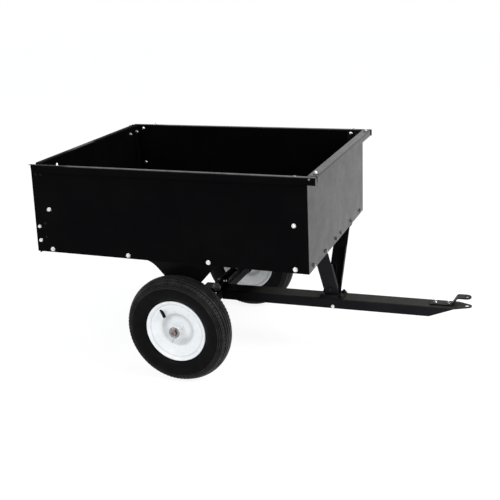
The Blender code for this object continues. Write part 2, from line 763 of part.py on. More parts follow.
def hitch_strap():
    """Upper jaw: a strap bent up off the drawbar, with a round end over the lower jaw."""
    low = TONGUE_TOP + GAP + STRAP_THICK / 2
    high = TONGUE_TOP + JAW_GAP + STRAP_THICK / 2
    tip = TONGUE_REACH - STRAP_SHORT
    path = [(STRAP_REAR, low), (STRAP_RISES_AT, low), (STRAP_LEVEL_AT, high), (tip, high)]
    bm = folded_strip(path, STRAP_THICK, 2 * STRAP_HALF, "XZ", (0.0, 0.0, 0.0), STRAP_BEND)
    wide = 2 * STRAP_HALF
    rear = STRAP_REAR - STRAP_THICK
    center = tip - STRAP_HALF
    plan = [(rear, -wide), (center, -wide)]
    plan += arc((center, 0.0), STRAP_HALF, -90.0, 90.0, 12)
    plan += [(center, wide), (rear, wide)]
    cutter = prism([plan, circle((HITCH_X, 0.0), HITCH_HOLE_RADIUS)], 8 * JAW_GAP, "XY")
    return drill(combine(bm, cutter, "INTERSECT"), hitch_seats(), HITCH_GRIP)


def latch_plate():
    outline = rectangle(LATCH_PLATE_REAR, -TONGUE_HALF, LATCH_PLATE_FRONT, TONGUE_HALF)
    slot = rectangle(SLOT_REAR, -SLOT_HALF, SLOT_FRONT, SLOT_HALF)
    center = (0.0, 0.0, LATCH_PLATE_TOP - LATCH_PLATE_THICK / 2)
    bm = prism([outline, slot], LATCH_PLATE_THICK, "XY", center)
    return drill(bm, latch_plate_seats(), LATCH_GRIP)


def striker_bolt():
    """Cross bolt in the drawbar that the latch hooks under."""
    center = (STRIKER_AHEAD, 0.0, STRIKER_LEVEL)
    face = TONGUE_HALF + GAP
    return cross_bolt(center, STRIKER_RADIUS, face, HEAD_RADIUS, HEAD_HEIGHT, HEAD_RADIUS)


def axle_channel():
    """Channel open above that carries the axle across the cart."""
    middle = CHANNEL_HALF - CHANNEL_SHEET / 2
    low = -CHANNEL_BELOW + CHANNEL_SHEET / 2
    high = JAW_UNDERSIDE - GAP
    path = [(-middle, high), (-middle, low), (middle, low), (middle, high)]
    center = (0.0, 0.0, 0.0)
    return folded_strip(path, CHANNEL_SHEET, 2 * CHANNEL_END, "XZ", center, BEND)


def channel_foot(half):
    """Lower part of an outline that stands in the channel, right corner first."""
    low = CHANNEL_SHEET - CHANNEL_BELOW + GAP
    return [(-half, low + BEND), (-half + BEND, low), (half - BEND, low), (half, low + BEND)]


def axle_saddle(side):
    """Block in the channel that holds the axle."""
    half = CHANNEL_HALF - CHANNEL_SHEET - GAP
    outline = channel_foot(half) + [(half, 0.0)]
    outline += arc((0.0, 0.0), SADDLE_CROWN, 0.0, 180.0, 8)
    outline += [(-half, 0.0)]
    bore = circle((0.0, 0.0), AXLE_RADIUS + GAP)
    y = side * (CHANNEL_END - SADDLE_INSET)
    return prism([outline, bore], SADDLE_THICK, "XZ", (0.0, y, 0.0))


def clamp_cheek(side):
    """Upright plate beside the drawbar: foot in the channel, eye above the drawbar."""
    outline = channel_foot(CHEEK_HALF_BASE) + [(CHEEK_HALF_BASE, AXLE_RADIUS)]
    outline += arc((CLAMP_AHEAD, CLAMP_ABOVE), CLAMP_EYE, -20.0, 170.0, 10)
    outline += [(-CHEEK_HALF_BASE * 0.6, AXLE_RADIUS * 1.5), (-CHEEK_HALF_BASE, AXLE_RADIUS / 2)]
    bore = circle((0.0, 0.0), AXLE_RADIUS + GAP)
    eye = circle((CLAMP_AHEAD, CLAMP_ABOVE), CLAMP_BOLT_RADIUS + HOLE, 12)
    y = side * (TONGUE_HALF + GAP + CHEEK_THICK / 2)
    return prism([outline, bore, eye], CHEEK_THICK, "XZ", (0.0, y, 0.0))


def clamp_bolt():
    """Bolt over the drawbar, with a broad flat head on the right and a nut on the left."""
    center = (CLAMP_AHEAD, 0.0, CLAMP_ABOVE)
    face = TONGUE_HALF + GAP + CHEEK_THICK + GAP
    return cross_bolt(center, CLAMP_BOLT_RADIUS, face, CLAMP_EYE, CLAMP_HEAD_THICK, HEAD_RADIUS,
                      SMALL_STEPS)


def clamp_tube():
    """Spacer on the clamp bolt that presses on the drawbar."""
    radius = CLAMP_ABOVE - TONGUE_TOP - GAP
    end = TONGUE_HALF - GAP
    return tube(radius, CLAMP_BOLT_RADIUS + HOLE, -end, end, (CLAMP_AHEAD, 0.0, CLAMP_ABOVE))


def axle():
    """Round bar with chamfered ends and a cotter hole at each end."""
    stations = [
        (-AXLE_END, AXLE_RADIUS - AXLE_CHAMFER),
        (AXLE_CHAMFER - AXLE_END, AXLE_RADIUS),
        (AXLE_END - AXLE_CHAMFER, AXLE_RADIUS),
        (AXLE_END, AXLE_RADIUS - AXLE_CHAMFER),
    ]
    bm = turned_rod(stations, (0, 1, 0), (0, 0, 0), SMALL_STEPS)
    for side in (-1, 1):
        hole = cylinder(COTTER_WIRE + GAP, -2 * AXLE_RADIUS, 2 * AXLE_RADIUS, (0, 0, 1),
                        (0.0, side * COTTER_AT, 0.0), 8)
        bm = combine(bm, hole, "DIFFERENCE")
    return bm


def build_drawbar():
    place = DRAWBAR_FRAME
    add_object("tongue", tongue(), "black_paint", place)
    add_object("hitch_strap", hitch_strap(), "black_paint", place)
    for word, seat in zip(("rear", "front"), hitch_seats()):
        add_object("hitch_bolt_" + word, bolt(seat, HITCH_GRIP, head_up=False), "zinc", place)
    add_object("latch_plate", latch_plate(), "black_paint", place)
    corners = ("rear_right", "rear_left", "front_right", "front_left")
    for word, seat in zip(corners, latch_plate_seats()):
        add_object("latch_plate_bolt_" + word, bolt(seat, LATCH_GRIP), "zinc", place)
    add_object("striker_bolt", striker_bolt(), "zinc", place)
    add_object("axle_channel", axle_channel(), "black_paint", place)
    for side, word in ((-1, "right"), (1, "left")):
        add_object("axle_saddle_" + word, axle_saddle(side), "black_paint", place)
        add_object("clamp_cheek_" + word, clamp_cheek(side), "black_paint", place)
    add_object("clamp_bolt", clamp_bolt(), "black_paint", place, smooth=True)
    add_object("clamp_tube", clamp_tube(), "black_paint", place, smooth=True)
    add_object("axle", axle(), "steel", place, smooth=True)


# Front legs and latch

def leg(side):
    """Strap from under the floor down to the drawbar, with a lip along its front edge."""
    path = [
        (side * (LEG_INNER + LEG_FOOT), LEG_FOOT_MIDDLE),
        (side * LEG_INNER, LEG_FOOT_MIDDLE),
        (side * LEG_TOP_Y, LEG_TOP_MIDDLE),
        (side * (LEG_TOP_Y + LEG_TOP_FOOT), LEG_TOP_MIDDLE),
    ]
    strap = folded_strip(path, LEG_THICK, LEG_WIDTH, "YZ", (LEG_AHEAD, 0.0, 0.0), LEG_BEND)
    foot = Vector((LEG_INNER, LEG_FOOT_MIDDLE))
    head = Vector((LEG_TOP_Y, LEG_TOP_MIDDLE))
    along = (head - foot).normalized()
    inward = Vector((-along.y, along.x)) * LEG_LIP
    low = foot + along * LEG_LIP_END
    high = head - along * LEG_LIP_START
    corners = [low, low + along * LEG_LIP + inward, high - along * LEG_LIP + inward, high]
    outline = [(side * corner.x, corner.y) for corner in corners]
    lip_x = LEG_AHEAD + LEG_WIDTH / 2 - LEG_THICK / 2
    bm = combine(strap, prism([outline], LEG_THICK, "YZ", (lip_x, 0.0, 0.0)), "UNION")
    pivot = cylinder(LATCH_BOLT_RADIUS + HOLE, -LEG_TOP_Y, LEG_TOP_Y,
                     location=(LATCH_PIVOT_AHEAD, 0.0, LATCH_PIVOT_Z), sides=12)
    return combine(bm, pivot, "DIFFERENCE")


def leg_face_y(z, outer):
    """Half width over the legs, or between them, at a height."""
    rise = LEG_TOP_MIDDLE - LEG_FOOT_MIDDLE
    run = LEG_TOP_Y - LEG_INNER
    middle = LEG_INNER + run * (z - LEG_FOOT_MIDDLE) / rise
    half_sheet = LEG_THICK / 2 * math.hypot(run, rise) / rise
    return middle + (half_sheet if outer else -half_sheet)


def latch_pivot_bolt():
    """Bolt through both legs that the latch lever turns on."""
    center = (LATCH_PIVOT_AHEAD, 0.0, LATCH_PIVOT_Z)
    face = leg_face_y(LATCH_PIVOT_Z + HEAD_RADIUS, True) + GAP
    return cross_bolt(center, LATCH_BOLT_RADIUS, face, HEAD_RADIUS, HEAD_HEIGHT, HEAD_RADIUS)


def latch_spacer(side):
    """Tube on the pivot bolt that keeps the lever midway between the legs."""
    start = LEVER_THICK / 2 + GAP
    end = leg_face_y(LATCH_PIVOT_Z - SPACER_RADIUS, False) - GAP
    return tube(SPACER_RADIUS, LATCH_BOLT_RADIUS + HOLE, side * start, side * end,
                (LATCH_PIVOT_AHEAD, 0.0, LATCH_PIVOT_Z), 12)


def latch_lever():
    """Flat lever, from its pivot: eye above, arm down through the drawbar's slot, beak."""
    striker_x = (AXLE_AHEAD + STRIKER_AHEAD * math.cos(TONGUE_RISE)
                 - STRIKER_LEVEL * math.sin(TONGUE_RISE) - LATCH_PIVOT_AHEAD)
    striker_z = (STRIKER_AHEAD * math.sin(TONGUE_RISE)
                 + STRIKER_LEVEL * math.cos(TONGUE_RISE) - LATCH_PIVOT_UP)
    beak_tip = striker_x - STRIKER_RADIUS - BEAK_CLEAR
    beak_top = striker_z - STRIKER_RADIUS - BEAK_CLEAR
    arm_front = beak_tip - BEAK_REACH
    arm_rear = arm_front - LEVER_ARM
    shoulder = LEG_FOOT_MIDDLE + LEG_THICK - LATCH_PIVOT_Z
    eye = (-LEVER_EYE_BACK, LEVER_RISE)
    outline = arc(eye, LEVER_TOP_RADIUS, 15.0, 178.0, 8)
    outline += [(arm_rear, 2 * LEVER_ARM), (arm_rear - GAP, shoulder), (arm_rear, beak_top)]
    outline += [(arm_rear + BEAK_THICK / 2, beak_top - BEAK_THICK), (beak_tip, beak_top - BEAK_THICK)]
    outline += [(beak_tip, beak_top), (arm_front, beak_top), (arm_front, shoulder)]
    outline += [(LEVER_TOP_RADIUS, shoulder / 2), (1.2 * LEVER_TOP_RADIUS, LEVER_ARM)]
    hole = circle(eye, LEVER_HOLE_RADIUS, 12)
    bore = circle((0.0, 0.0), LATCH_BOLT_RADIUS + HOLE, 12)
    return prism([outline, hole, bore], LEVER_THICK, "XZ")


def latch_spring():
    """Torsion spring round the right spacer, one end on the lever and one on the leg."""
    radius = SPACER_RADIUS + SPRING_WIRE + SPRING_FIT
    start_y = -(LEVER_THICK / 2 + SPRING_WIRE + GAP)
    pitch = 2 * SPRING_WIRE + SPRING_FIT
    points = [(radius, start_y, 3 * radius), (radius, start_y, radius)]
    for step in range(SPRING_TURNS * SPRING_STEPS + 1):
        turn = step / SPRING_STEPS
        angle = -2 * math.pi * turn
        points.append((radius * math.cos(angle), start_y - pitch * turn, radius * math.sin(angle)))
    last_y = points[-1][1]
    foot_z = -2 * radius
    foot_y = 2 * SPRING_WIRE - leg_face_y(LATCH_PIVOT_Z + foot_z, False)
    points += [(radius, last_y, -radius), (radius, foot_y, foot_z)]
    curve = bpy.data.curves.new("latch_spring", "CURVE")
    curve.dimensions = "3D"
    curve.bevel_depth = SPRING_WIRE
    curve.bevel_resolution = 1
    curve.use_fill_caps = True
    spline = curve.splines.new("POLY")
    spline.points.add(len(points) - 1)
    for point, place in zip(spline.points, points):
        point.co = (*place, 1.0)
    return take_result(helper_object("spring_path", curve))


def build_front():
    for side, word in ((-1, "right"), (1, "left")):
        add_object("leg_" + word, leg(side), "black_paint", BED_FRAME)
        add_object("latch_spacer_" + word, latch_spacer(side), "black_paint", BED_FRAME)
    add_object("latch_pivot_bolt", latch_pivot_bolt(), "zinc", BED_FRAME)
    add_object("latch_lever", latch_lever(), "black_paint", LATCH_FRAME)
    add_object("latch_spring", latch_spring(), "zinc", LATCH_FRAME, smooth=True)


# Wheels: profiles are (radius, distance outward from the tyre's middle plane)

def tyre_profile():
    """Carcass open towards the rim: grooved crown, shoulders, side walls and beads."""
    half = TYRE_WIDTH / 2
    lip = RIM_WIDTH / 2
    shoulder = TYRE_RADIUS - TREAD_DROP
    seat = BEAD_RADIUS + BEAD_FIT
    heel = lip - RIM_FACE_SET - 2 * BEAD_FIT
    outside = [
        (seat, heel),
        (BEAD_RADIUS + RIM_LIP_ROLL, lip - RIM_LIP_ROLL - 2 * BEAD_FIT),
        (RIM_LIP_RADIUS + 2 * BEAD_FIT, lip - RIM_LIP_ROLL - 2 * BEAD_FIT),
        (RIM_LIP_RADIUS + RIM_LIP_ROLL, lip),
        ((RIM_LIP_RADIUS + shoulder) / 2 - TREAD_DROP, half),
        (shoulder - 2 * TREAD_DROP, half),
        (shoulder, half * TREAD_SHARE),
    ]
    for share in GROOVES_AT:
        edge = TYRE_RADIUS - TREAD_DROP * share ** 3
        across = half * TREAD_SHARE
        outside += [
            (edge, across * (share + GROOVE_SHARE)),
            (edge - TREAD_GROOVE, across * share),
            (edge, across * (share - GROOVE_SHARE)),
        ]
    outside.append((TYRE_RADIUS, half * GROOVE_SHARE))
    inside = [
        (shoulder - TYRE_WALL, half * 0.60),
        ((RIM_LIP_RADIUS + shoulder) / 2, half - TYRE_WALL),
        (RIM_LIP_RADIUS + RIM_LIP_ROLL, lip - 2 * TYRE_WALL),
        (seat, heel - 1.6 * TYRE_WALL),
    ]
    outside_mirrored = [(radius, -y) for radius, y in reversed(outside)]
    inside_mirrored = [(radius, -y) for radius, y in reversed(inside)]
    return outside + outside_mirrored + inside_mirrored + inside


def rim_half_profile(side):
    """One pressed half: rolled lip, bead seat, sloping face, dish and a ring on the hub."""
    lip = RIM_WIDTH / 2
    face = lip - RIM_FACE_SET
    dish = lip - DISH_SET
    seat = RIM_SHEET / 2
    roll = RIM_LIP_ROLL
    sheet = RIM_SHEET
    points = [
        (RIM_LIP_RADIUS - roll / 2, lip - roll),
        (RIM_LIP_RADIUS, lip - roll * 0.45),
        (RIM_LIP_RADIUS - roll / 2, lip),
        (BEAD_RADIUS + roll, lip - roll * 0.45),
        (BEAD_RADIUS, face + sheet / 2),
        (DISH_RADIUS + sheet, dish + sheet / 2),
        (DISH_RADIUS - sheet, dish - sheet),
        (DISH_FLOOR_RADIUS, seat + sheet),
        (HUB_RADIUS + GAP, seat + sheet),
        (HUB_RADIUS + GAP, GAP),
        (DISH_FLOOR_RADIUS + sheet / 2, GAP),
        (DISH_RADIUS, dish - 2 * sheet),
        (BEAD_RADIUS - 2 * sheet, face - sheet),
        (BEAD_RADIUS - sheet, GAP),
        (BEAD_RADIUS, GAP),
        (BEAD_RADIUS, face - sheet / 2),
        (BEAD_RADIUS + roll, lip - roll * 0.95),
        (RIM_LIP_RADIUS - roll / 2, lip - roll * 0.5),
    ]
    return [(radius, side * y) for radius, y in points]


def valve_line(side):
    """Base and direction of the valve stem, from the wheel's centre."""
    angle = math.radians(127.5)
    away = Vector((math.cos(angle), 0.0, math.sin(angle)))
    base_y = RIM_WIDTH / 2 - RIM_FACE_SET - VALVE_BEHIND_FACE
    base = away * VALVE_BASE_AT + Vector((0.0, side * base_y, 0.0))
    tip = away * VALVE_TIP_AT + Vector((0.0, side * (RIM_WIDTH / 2 + RIM_SHEET), 0.0))
    return base, tip - base


def valve_stem(side):
    base, run = valve_line(side)
    length = run.length
    stations = [
        (0.0, VALVE_RADIUS),
        (length * 0.55, VALVE_RADIUS),
        (length * 0.60, VALVE_RADIUS * 0.85),
        (length * 0.66, VALVE_RADIUS),
        (length, VALVE_RADIUS * 0.95),
    ]
    return turned_rod(stations, run, base, 10)


def rim_half(side, outward):
    """The outer half has a hole for the valve."""
    bm = turned(rim_half_profile(side if outward else -side))
    if outward:
        base, run = valve_line(side)
        hole = cylinder(VALVE_RADIUS + HOLE, -BEAD_FIT, run.length, run, base, 10)
        bm = combine(bm, hole, "DIFFERENCE")
    return bm


def hub_bush(side, end, direction):
    """Flanged sleeve in one end of the hub, running on the axle."""
    mouth = end - WHEEL_PLANE
    outer = side * (mouth + direction * (GAP + HUB_BUSH_FLANGE))
    shoulder = side * (mouth + direction * GAP)
    inner = side * (mouth - direction * HUB_BUSH_DEPTH)
    bore = AXLE_RADIUS + AXLE_FIT
    sleeve = HUB_BORE - GAP
    profile = [(HUB_BUSH_RIM, outer), (HUB_BUSH_RIM, shoulder), (sleeve, shoulder),
               (sleeve, inner), (bore, inner), (bore, outer)]
    return turned(profile, steps=SMALL_STEPS)


def cotter_pin(side):
    """Pin through the axle with a ring above and its legs below."""
    y = side * COTTER_AT
    shank = cylinder(COTTER_WIRE, -AXLE_RADIUS - COTTER_BELOW, AXLE_RADIUS + COTTER_WIRE,
                     (0, 0, 1), (0.0, y, 0.0), 8)
    ring = tube(COTTER_EYE, COTTER_EYE / 2, -COTTER_WIRE * 0.9, COTTER_WIRE * 0.9,
                (0.0, y, AXLE_RADIUS + GAP + COTTER_EYE), 12)
    return combine(shank, ring, "UNION")


def axle_washer(side, start, direction):
    return tube(WASHER_RADIUS, AXLE_RADIUS + GAP, side * start,
                side * (start + direction * WASHER_THICK))


def build_wheels():
    flange = 2 * GAP + HUB_BUSH_FLANGE
    for side, word in ((-1, "right"), (1, "left")):
        axis = make_empty("wheel_axis_" + word, (AXLE_X, side * WHEEL_PLANE, AXLE_Z))
        add_object("tyre_" + word, turned(tyre_profile()), "rubber", axis, smooth=True)
        add_object("rim_outer_" + word, rim_half(side, True), "white_paint", axis, smooth=True)
        add_object("rim_inner_" + word, rim_half(side, False), "white_paint", axis, smooth=True)
        hub = tube(HUB_RADIUS, HUB_BORE, side * (HUB_INNER - WHEEL_PLANE),
                   side * (HUB_OUTER - WHEEL_PLANE))
        add_object("hub_" + word, hub, "white_paint", axis, smooth=True)
        for place, end, direction in (("outer", HUB_OUTER, 1), ("inner", HUB_INNER, -1)):
            bush = hub_bush(side, end, direction)
            add_object("hub_bush_" + place + "_" + word, bush, "bronze", axis, smooth=True)
            washer = axle_washer(side, end + direction * flange, direction)
            add_object("axle_washer_" + place + "_" + word, washer, "zinc", DRAWBAR_FRAME,
                       smooth=True)
        add_object("valve_stem_" + word, valve_stem(side), "rubber", axis, smooth=True)
        add_object("cotter_pin_" + word, cotter_pin(side), "steel", DRAWBAR_FRAME, smooth=True)


build_bed()
build_supports()
build_drawbar()
build_front()
build_wheels()
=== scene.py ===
"""Tow-behind dump cart: camera, light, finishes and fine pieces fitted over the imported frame.

Metres, +X forward to the hitch, +Y left, +Z up.
"""

import json
import math

import bmesh
import bpy
from mathutils import Matrix, Vector


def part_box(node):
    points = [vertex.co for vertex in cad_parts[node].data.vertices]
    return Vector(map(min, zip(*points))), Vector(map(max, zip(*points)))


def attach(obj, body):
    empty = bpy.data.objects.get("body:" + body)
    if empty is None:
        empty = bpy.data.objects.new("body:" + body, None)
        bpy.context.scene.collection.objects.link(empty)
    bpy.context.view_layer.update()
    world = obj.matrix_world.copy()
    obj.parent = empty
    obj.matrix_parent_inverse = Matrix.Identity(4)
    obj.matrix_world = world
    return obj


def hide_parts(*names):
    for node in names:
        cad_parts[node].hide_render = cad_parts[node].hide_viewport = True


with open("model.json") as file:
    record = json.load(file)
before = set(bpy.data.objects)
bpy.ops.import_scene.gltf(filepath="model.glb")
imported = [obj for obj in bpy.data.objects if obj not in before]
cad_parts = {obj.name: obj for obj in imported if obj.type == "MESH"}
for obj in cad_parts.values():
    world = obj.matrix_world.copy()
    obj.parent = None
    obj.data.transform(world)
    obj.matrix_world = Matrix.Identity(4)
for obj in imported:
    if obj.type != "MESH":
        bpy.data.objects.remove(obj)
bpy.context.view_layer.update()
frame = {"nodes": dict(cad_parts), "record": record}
NODES = frame["nodes"]

# Camera
AZIMUTH = math.radians(21.7812)
ELEVATION = math.radians(19.2315)
ROLL = math.radians(-2.9122)
LENS_MM = 58.3
SENSOR_MM = 36.0
CAMERA_AT = (1.0425, -2.7886, 1.4389)

# Frame: the axle, the bed's middle and the drawbar's slope
AXLE_LOW, AXLE_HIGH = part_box("axle")
AXLE = (AXLE_LOW + AXLE_HIGH) / 2
AXLE_RADIUS = 0.0095
AXLE_AHEAD = 0.027
BED_X = AXLE.x - AXLE_AHEAD
TONGUE_RISE = math.radians(1.1)
DRAWBAR = Matrix.Translation(AXLE) @ Matrix.Rotation(-TONGUE_RISE, 4, "Y")
SIDES = ((-1, "right"), (1, "left"))

# Bed's faces from its middle or from the ground, its sheet, and the gap between pieces
SHEET = 0.0020
GAP = 0.0003
SIDE_FACE = 0.3825
FRONT_FACE = 0.535
FLOOR_UNDER = 0.464
BED_TOP = 0.801
TAILGATE_AT = -0.4905

# Tyre and rim; a section's points are (radius, distance outward from the wheel's middle plane)
WHEEL_PLANE = 0.3646
TYRE_RADIUS = 0.203
TYRE_HALF = 0.049
TREAD_DROP = 0.0120
TREAD_SHARE = 0.72
GROOVE_DEPTH = 0.0036
TREAD_FROM = 0.1865
TREAD_CURVE = 2.1
TYRE_TURN = 504
ZIGZAG_TURN = 84
ZIGZAG_SWAY = 0.028
SIPE_DEPTH = 0.0022
SIPE_SHARE = 0.28
RIM_TURN = 144
RIM_HALF = 0.03775

# Hub, washers, split pin, and valve with its ends as (radius, distance outward)
HUB_BORE = 0.0125
HUB_RADIUS = 0.0170
WASHER_BORE = 0.0112
PIN_EYE = 0.0042
PIN_WIRE = 0.0014
VALVE_ANGLE = math.radians(127.5)
VALVE_BASE = (0.0958, 0.0250)
VALVE_TIP = (0.0638, 0.0356)
CAP_RIBS = 36


# Meshes

def finish_mesh(bm, name, smooth_angle=32.0):
    bmesh.ops.recalc_face_normals(bm, faces=bm.faces)
    data = bpy.data.meshes.new(name)
    bm.to_mesh(data)
    bm.free()
    for polygon in data.polygons:
        polygon.use_smooth = True
    data.set_sharp_from_angle(angle=math.radians(smooth_angle))
    return data


def add_piece(name, bm, body, material, stands_for=(), smooth_angle=32.0):
    piece = bpy.data.objects.new(name, finish_mesh(bm, name, smooth_angle))
    bpy.context.scene.collection.objects.link(piece)
    piece.data.materials.append(material)
    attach(piece, body)
    if stands_for:
        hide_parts(*stands_for)
    return piece


def skin(bm, rings, place=None, closed=True):
    """Join rings of equally many points; the ends are filled where closed."""
    made = []
    for ring in rings:
        row = []
        for point in ring:
            spot = place @ Vector(point) if place is not None else Vector(point)
            row.append(bm.verts.new(spot))
        made.append(row)
    count = len(made[0])
    for low, high in zip(made, made[1:]):
        for i in range(count):
            j = (i + 1) % count
            bm.faces.new((low[i], low[j], high[j], high[i]))
    if closed:
        bm.faces.new(tuple(reversed(made[0])))
        bm.faces.new(tuple(made[-1]))
    else:
        for i in range(count):
            j = (i + 1) % count
            bm.faces.new((made[-1][i], made[-1][j], made[0][j], made[0][i]))


def round_ring(radius, z, steps):
    ring = []
    for i in range(steps):
        angle = 2 * math.pi * i / steps
        ring.append((radius * math.cos(angle), radius * math.sin(angle), z))
    return ring


def turned_stack(bm, place, stack, steps=24):
    """Solid of revolution about the local Z axis, from (radius, height) pairs."""
    skin(bm, [round_ring(radius, z, steps) for radius, z in stack], place)


def pipe_stack(bm, place, loop, steps=48):
    """Ring-shaped solid about local Z, from a closed loop of (radius, height) pairs."""
    skin(bm, [round_ring(radius, z, steps) for radius, z in loop], place, closed=False)


def hexagon(bm, place, flats, low, high, low_chamfer, high_chamfer, steps=48):
    """Hexagon across its flats, with turned chamfers on its ends."""
    half = flats / 2
    crown = half * 0.96
    slope = math.tan(math.radians(30.0))

    def ring(z, sign, chamfered, on_crown):
        points = []
        for i in range(steps):
            angle = 2 * math.pi * i / steps
            sector = (angle % (math.pi / 3)) - math.pi / 6
            radius = half / math.cos(sector)
            height = z
            if chamfered and on_crown:
                radius = crown
            elif chamfered:
                height = z - sign * (radius - crown) * slope
            points.append((radius * math.cos(angle), radius * math.sin(angle), height))
        return points

    rings = []
    if low_chamfer:
        rings.append(ring(low, -1, True, True))
    rings.append(ring(low, -1, low_chamfer, False))
    rings.append(ring(high, 1, high_chamfer, False))
    if high_chamfer:
        rings.append(ring(high, 1, True, True))
    skin(bm, rings, place)


def thread_end(bm, place, radius, low, high, pitch=0.00125):
    """Bolt end with its thread's ridges."""
    stack = [(radius * 0.93, low)]
    z = low
    while z + pitch < high:
        stack += [(radius * 0.90, z + pitch * 0.1), (radius, z + pitch * 0.55)]
        z += pitch
    stack += [(radius * 0.92, high - pitch * 0.4), (radius * 0.72, high)]
    turned_stack(bm, place, stack, 20)


def facing(origin, direction, spin=0.0):
    """Placement whose Z runs along a direction."""
    turn = Vector(direction).to_track_quat("Z", "Y").to_matrix().to_4x4()
    return Matrix.Translation(Vector(origin)) @ turn @ Matrix.Rotation(spin, 4, "Z")


def hex_bolt(bm, place, radius, flats, grip, head=0.0042, end=0.0035, washer=0.0):
    """Head on the outer face, nut and bolt end behind the grip."""
    if washer:
        turned_stack(bm, place, [(flats * 0.62, 0.0), (flats * 0.66, washer * 0.3),
                                 (flats * 0.66, washer * 0.8), (flats * 0.62, washer)], 32)
    hexagon(bm, place, flats, washer, washer + head, False, True)
    turned_stack(bm, place, [(radius, -grip), (radius, washer)], 20)
    nut = flats * 0.5
    hexagon(bm, place, flats, -grip - nut, -grip, True, False)
    thread_end(bm, place, radius, -grip - nut - end, -grip - nut + 0.001)


def nut_out_bolt(bm, place, radius, flats, grip, end=0.0055, head=0.0032):
    """Nut and bolt end on the outer face, low domed head behind the grip."""
    nut = flats * 0.48
    turned_stack(bm, place, [(flats * 0.60, 0.0), (flats * 0.60, 0.0009),
                             (flats * 0.50, 0.0012)], 32)
    hexagon(bm, place, flats, 0.0008, nut, False, True)
    flip = place @ Matrix.Rotation(math.pi, 4, "X")
    thread_end(bm, flip, radius, -(nut + end), -nut + 0.001)
    turned_stack(bm, place, [(radius, -grip), (radius, nut)], 20)
    dome(bm, flip, flats * 0.62, head, grip)


def nut_up_bolt(bm, place, radius, flats, grip, nut=0.0066, end=0.0040, head=0.0048):
    """Washer, nut and bolt end above the seat, hexagon head under the grip."""
    turned_stack(bm, place, [(flats * 0.64, 0.0), (flats * 0.68, 0.0005), (flats * 0.68, 0.0013),
                             (flats * 0.64, 0.0018)], 36)
    hexagon(bm, place, flats, 0.0017, 0.0018 + nut, False, True)
    turned_stack(bm, place, [(radius, -grip - 0.0002), (radius, nut)], 20)
    flip = place @ Matrix.Rotation(math.pi, 4, "X")
    thread_end(bm, flip, radius, -(0.0018 + nut + end), -nut)
    hexagon(bm, flip, flats, grip + GAP, grip + GAP + head, False, True)


def dome(bm, place, radius, height, at=0.0, steps=28):
    """Low domed head standing on the local XY plane."""
    stack = [(radius * 0.97, at), (radius, at + height * 0.16)]
    for i in range(1, 7):
        angle = math.pi / 2 * i / 7
        stack.append((radius * math.cos(angle), at + height * (0.16 + 0.84 * math.sin(angle))))
    stack.append((radius * 0.05, at + height))
    turned_stack(bm, place, stack, steps)


# Materials

def new_material(name, color, roughness, metallic=0.0, ior=1.5):
    material = bpy.data.materials.new(name)
    material.use_nodes = True
    tree = material.node_tree
    shader = tree.nodes["Principled BSDF"]
    shader.inputs["Base Color"].default_value = (*color, 1.0)
    shader.inputs["Roughness"].default_value = roughness
    shader.inputs["Metallic"].default_value = metallic
    shader.inputs["IOR"].default_value = ior
    material.diffuse_color = (*color, 1.0)
    return material, tree, shader


def noise(tree, scale, detail=3.0, rough=0.55):
    """Noise over object coordinates, in metres."""
    coords = tree.nodes.new("ShaderNodeTexCoord")
    node = tree.nodes.new("ShaderNodeTexNoise")
    node.inputs["Scale"].default_value = scale
    node.inputs["Detail"].default_value = detail
    node.inputs["Roughness"].default_value = rough
    tree.links.new(coords.outputs["Object"], node.inputs["Vector"])
    return node.outputs["Fac"]


def spread(tree, value, from_low, from_high, to_low, to_high):
    """A value's range mapped to another one."""
    node = tree.nodes.new("ShaderNodeMapRange")
    node.inputs["From Min"].default_value = from_low
    node.inputs["From Max"].default_value = from_high
    node.inputs["To Min"].default_value = to_low
    node.inputs["To Max"].default_value = to_high
    tree.links.new(value, node.inputs["Value"])
    return node.outputs["Result"]


def two_colors(tree, factor, low, high, stops):
    ramp = tree.nodes.new("ShaderNodeValToRGB")
    ramp.color_ramp.elements[0].position = stops[0]
    ramp.color_ramp.elements[1].position = stops[1]
    ramp.color_ramp.elements[0].color = (*low, 1.0)
    ramp.color_ramp.elements[1].color = (*high, 1.0)
    tree.links.new(factor, ramp.inputs["Fac"])
    return ramp.outputs["Color"]


def bumps(tree, shader, layers):
    """Chain of bump nodes, from (height, strength, distance)."""
    normal = None
    for height, strength, distance in layers:
        node = tree.nodes.new("ShaderNodeBump")
        node.inputs["Strength"].default_value = strength
        node.inputs["Distance"].default_value = distance
        tree.links.new(height, node.inputs["Height"])
        if normal is not None:
            tree.links.new(normal, node.inputs["Normal"])
        normal = node.outputs["Normal"]
    tree.links.new(normal, shader.inputs["Normal"])


def product(tree, first, second):
    node = tree.nodes.new("ShaderNodeMath")
    node.operation = "MULTIPLY"
    tree.links.new(first, node.inputs[0])
    tree.links.new(second, node.inputs[1])
    return node.outputs["Value"]


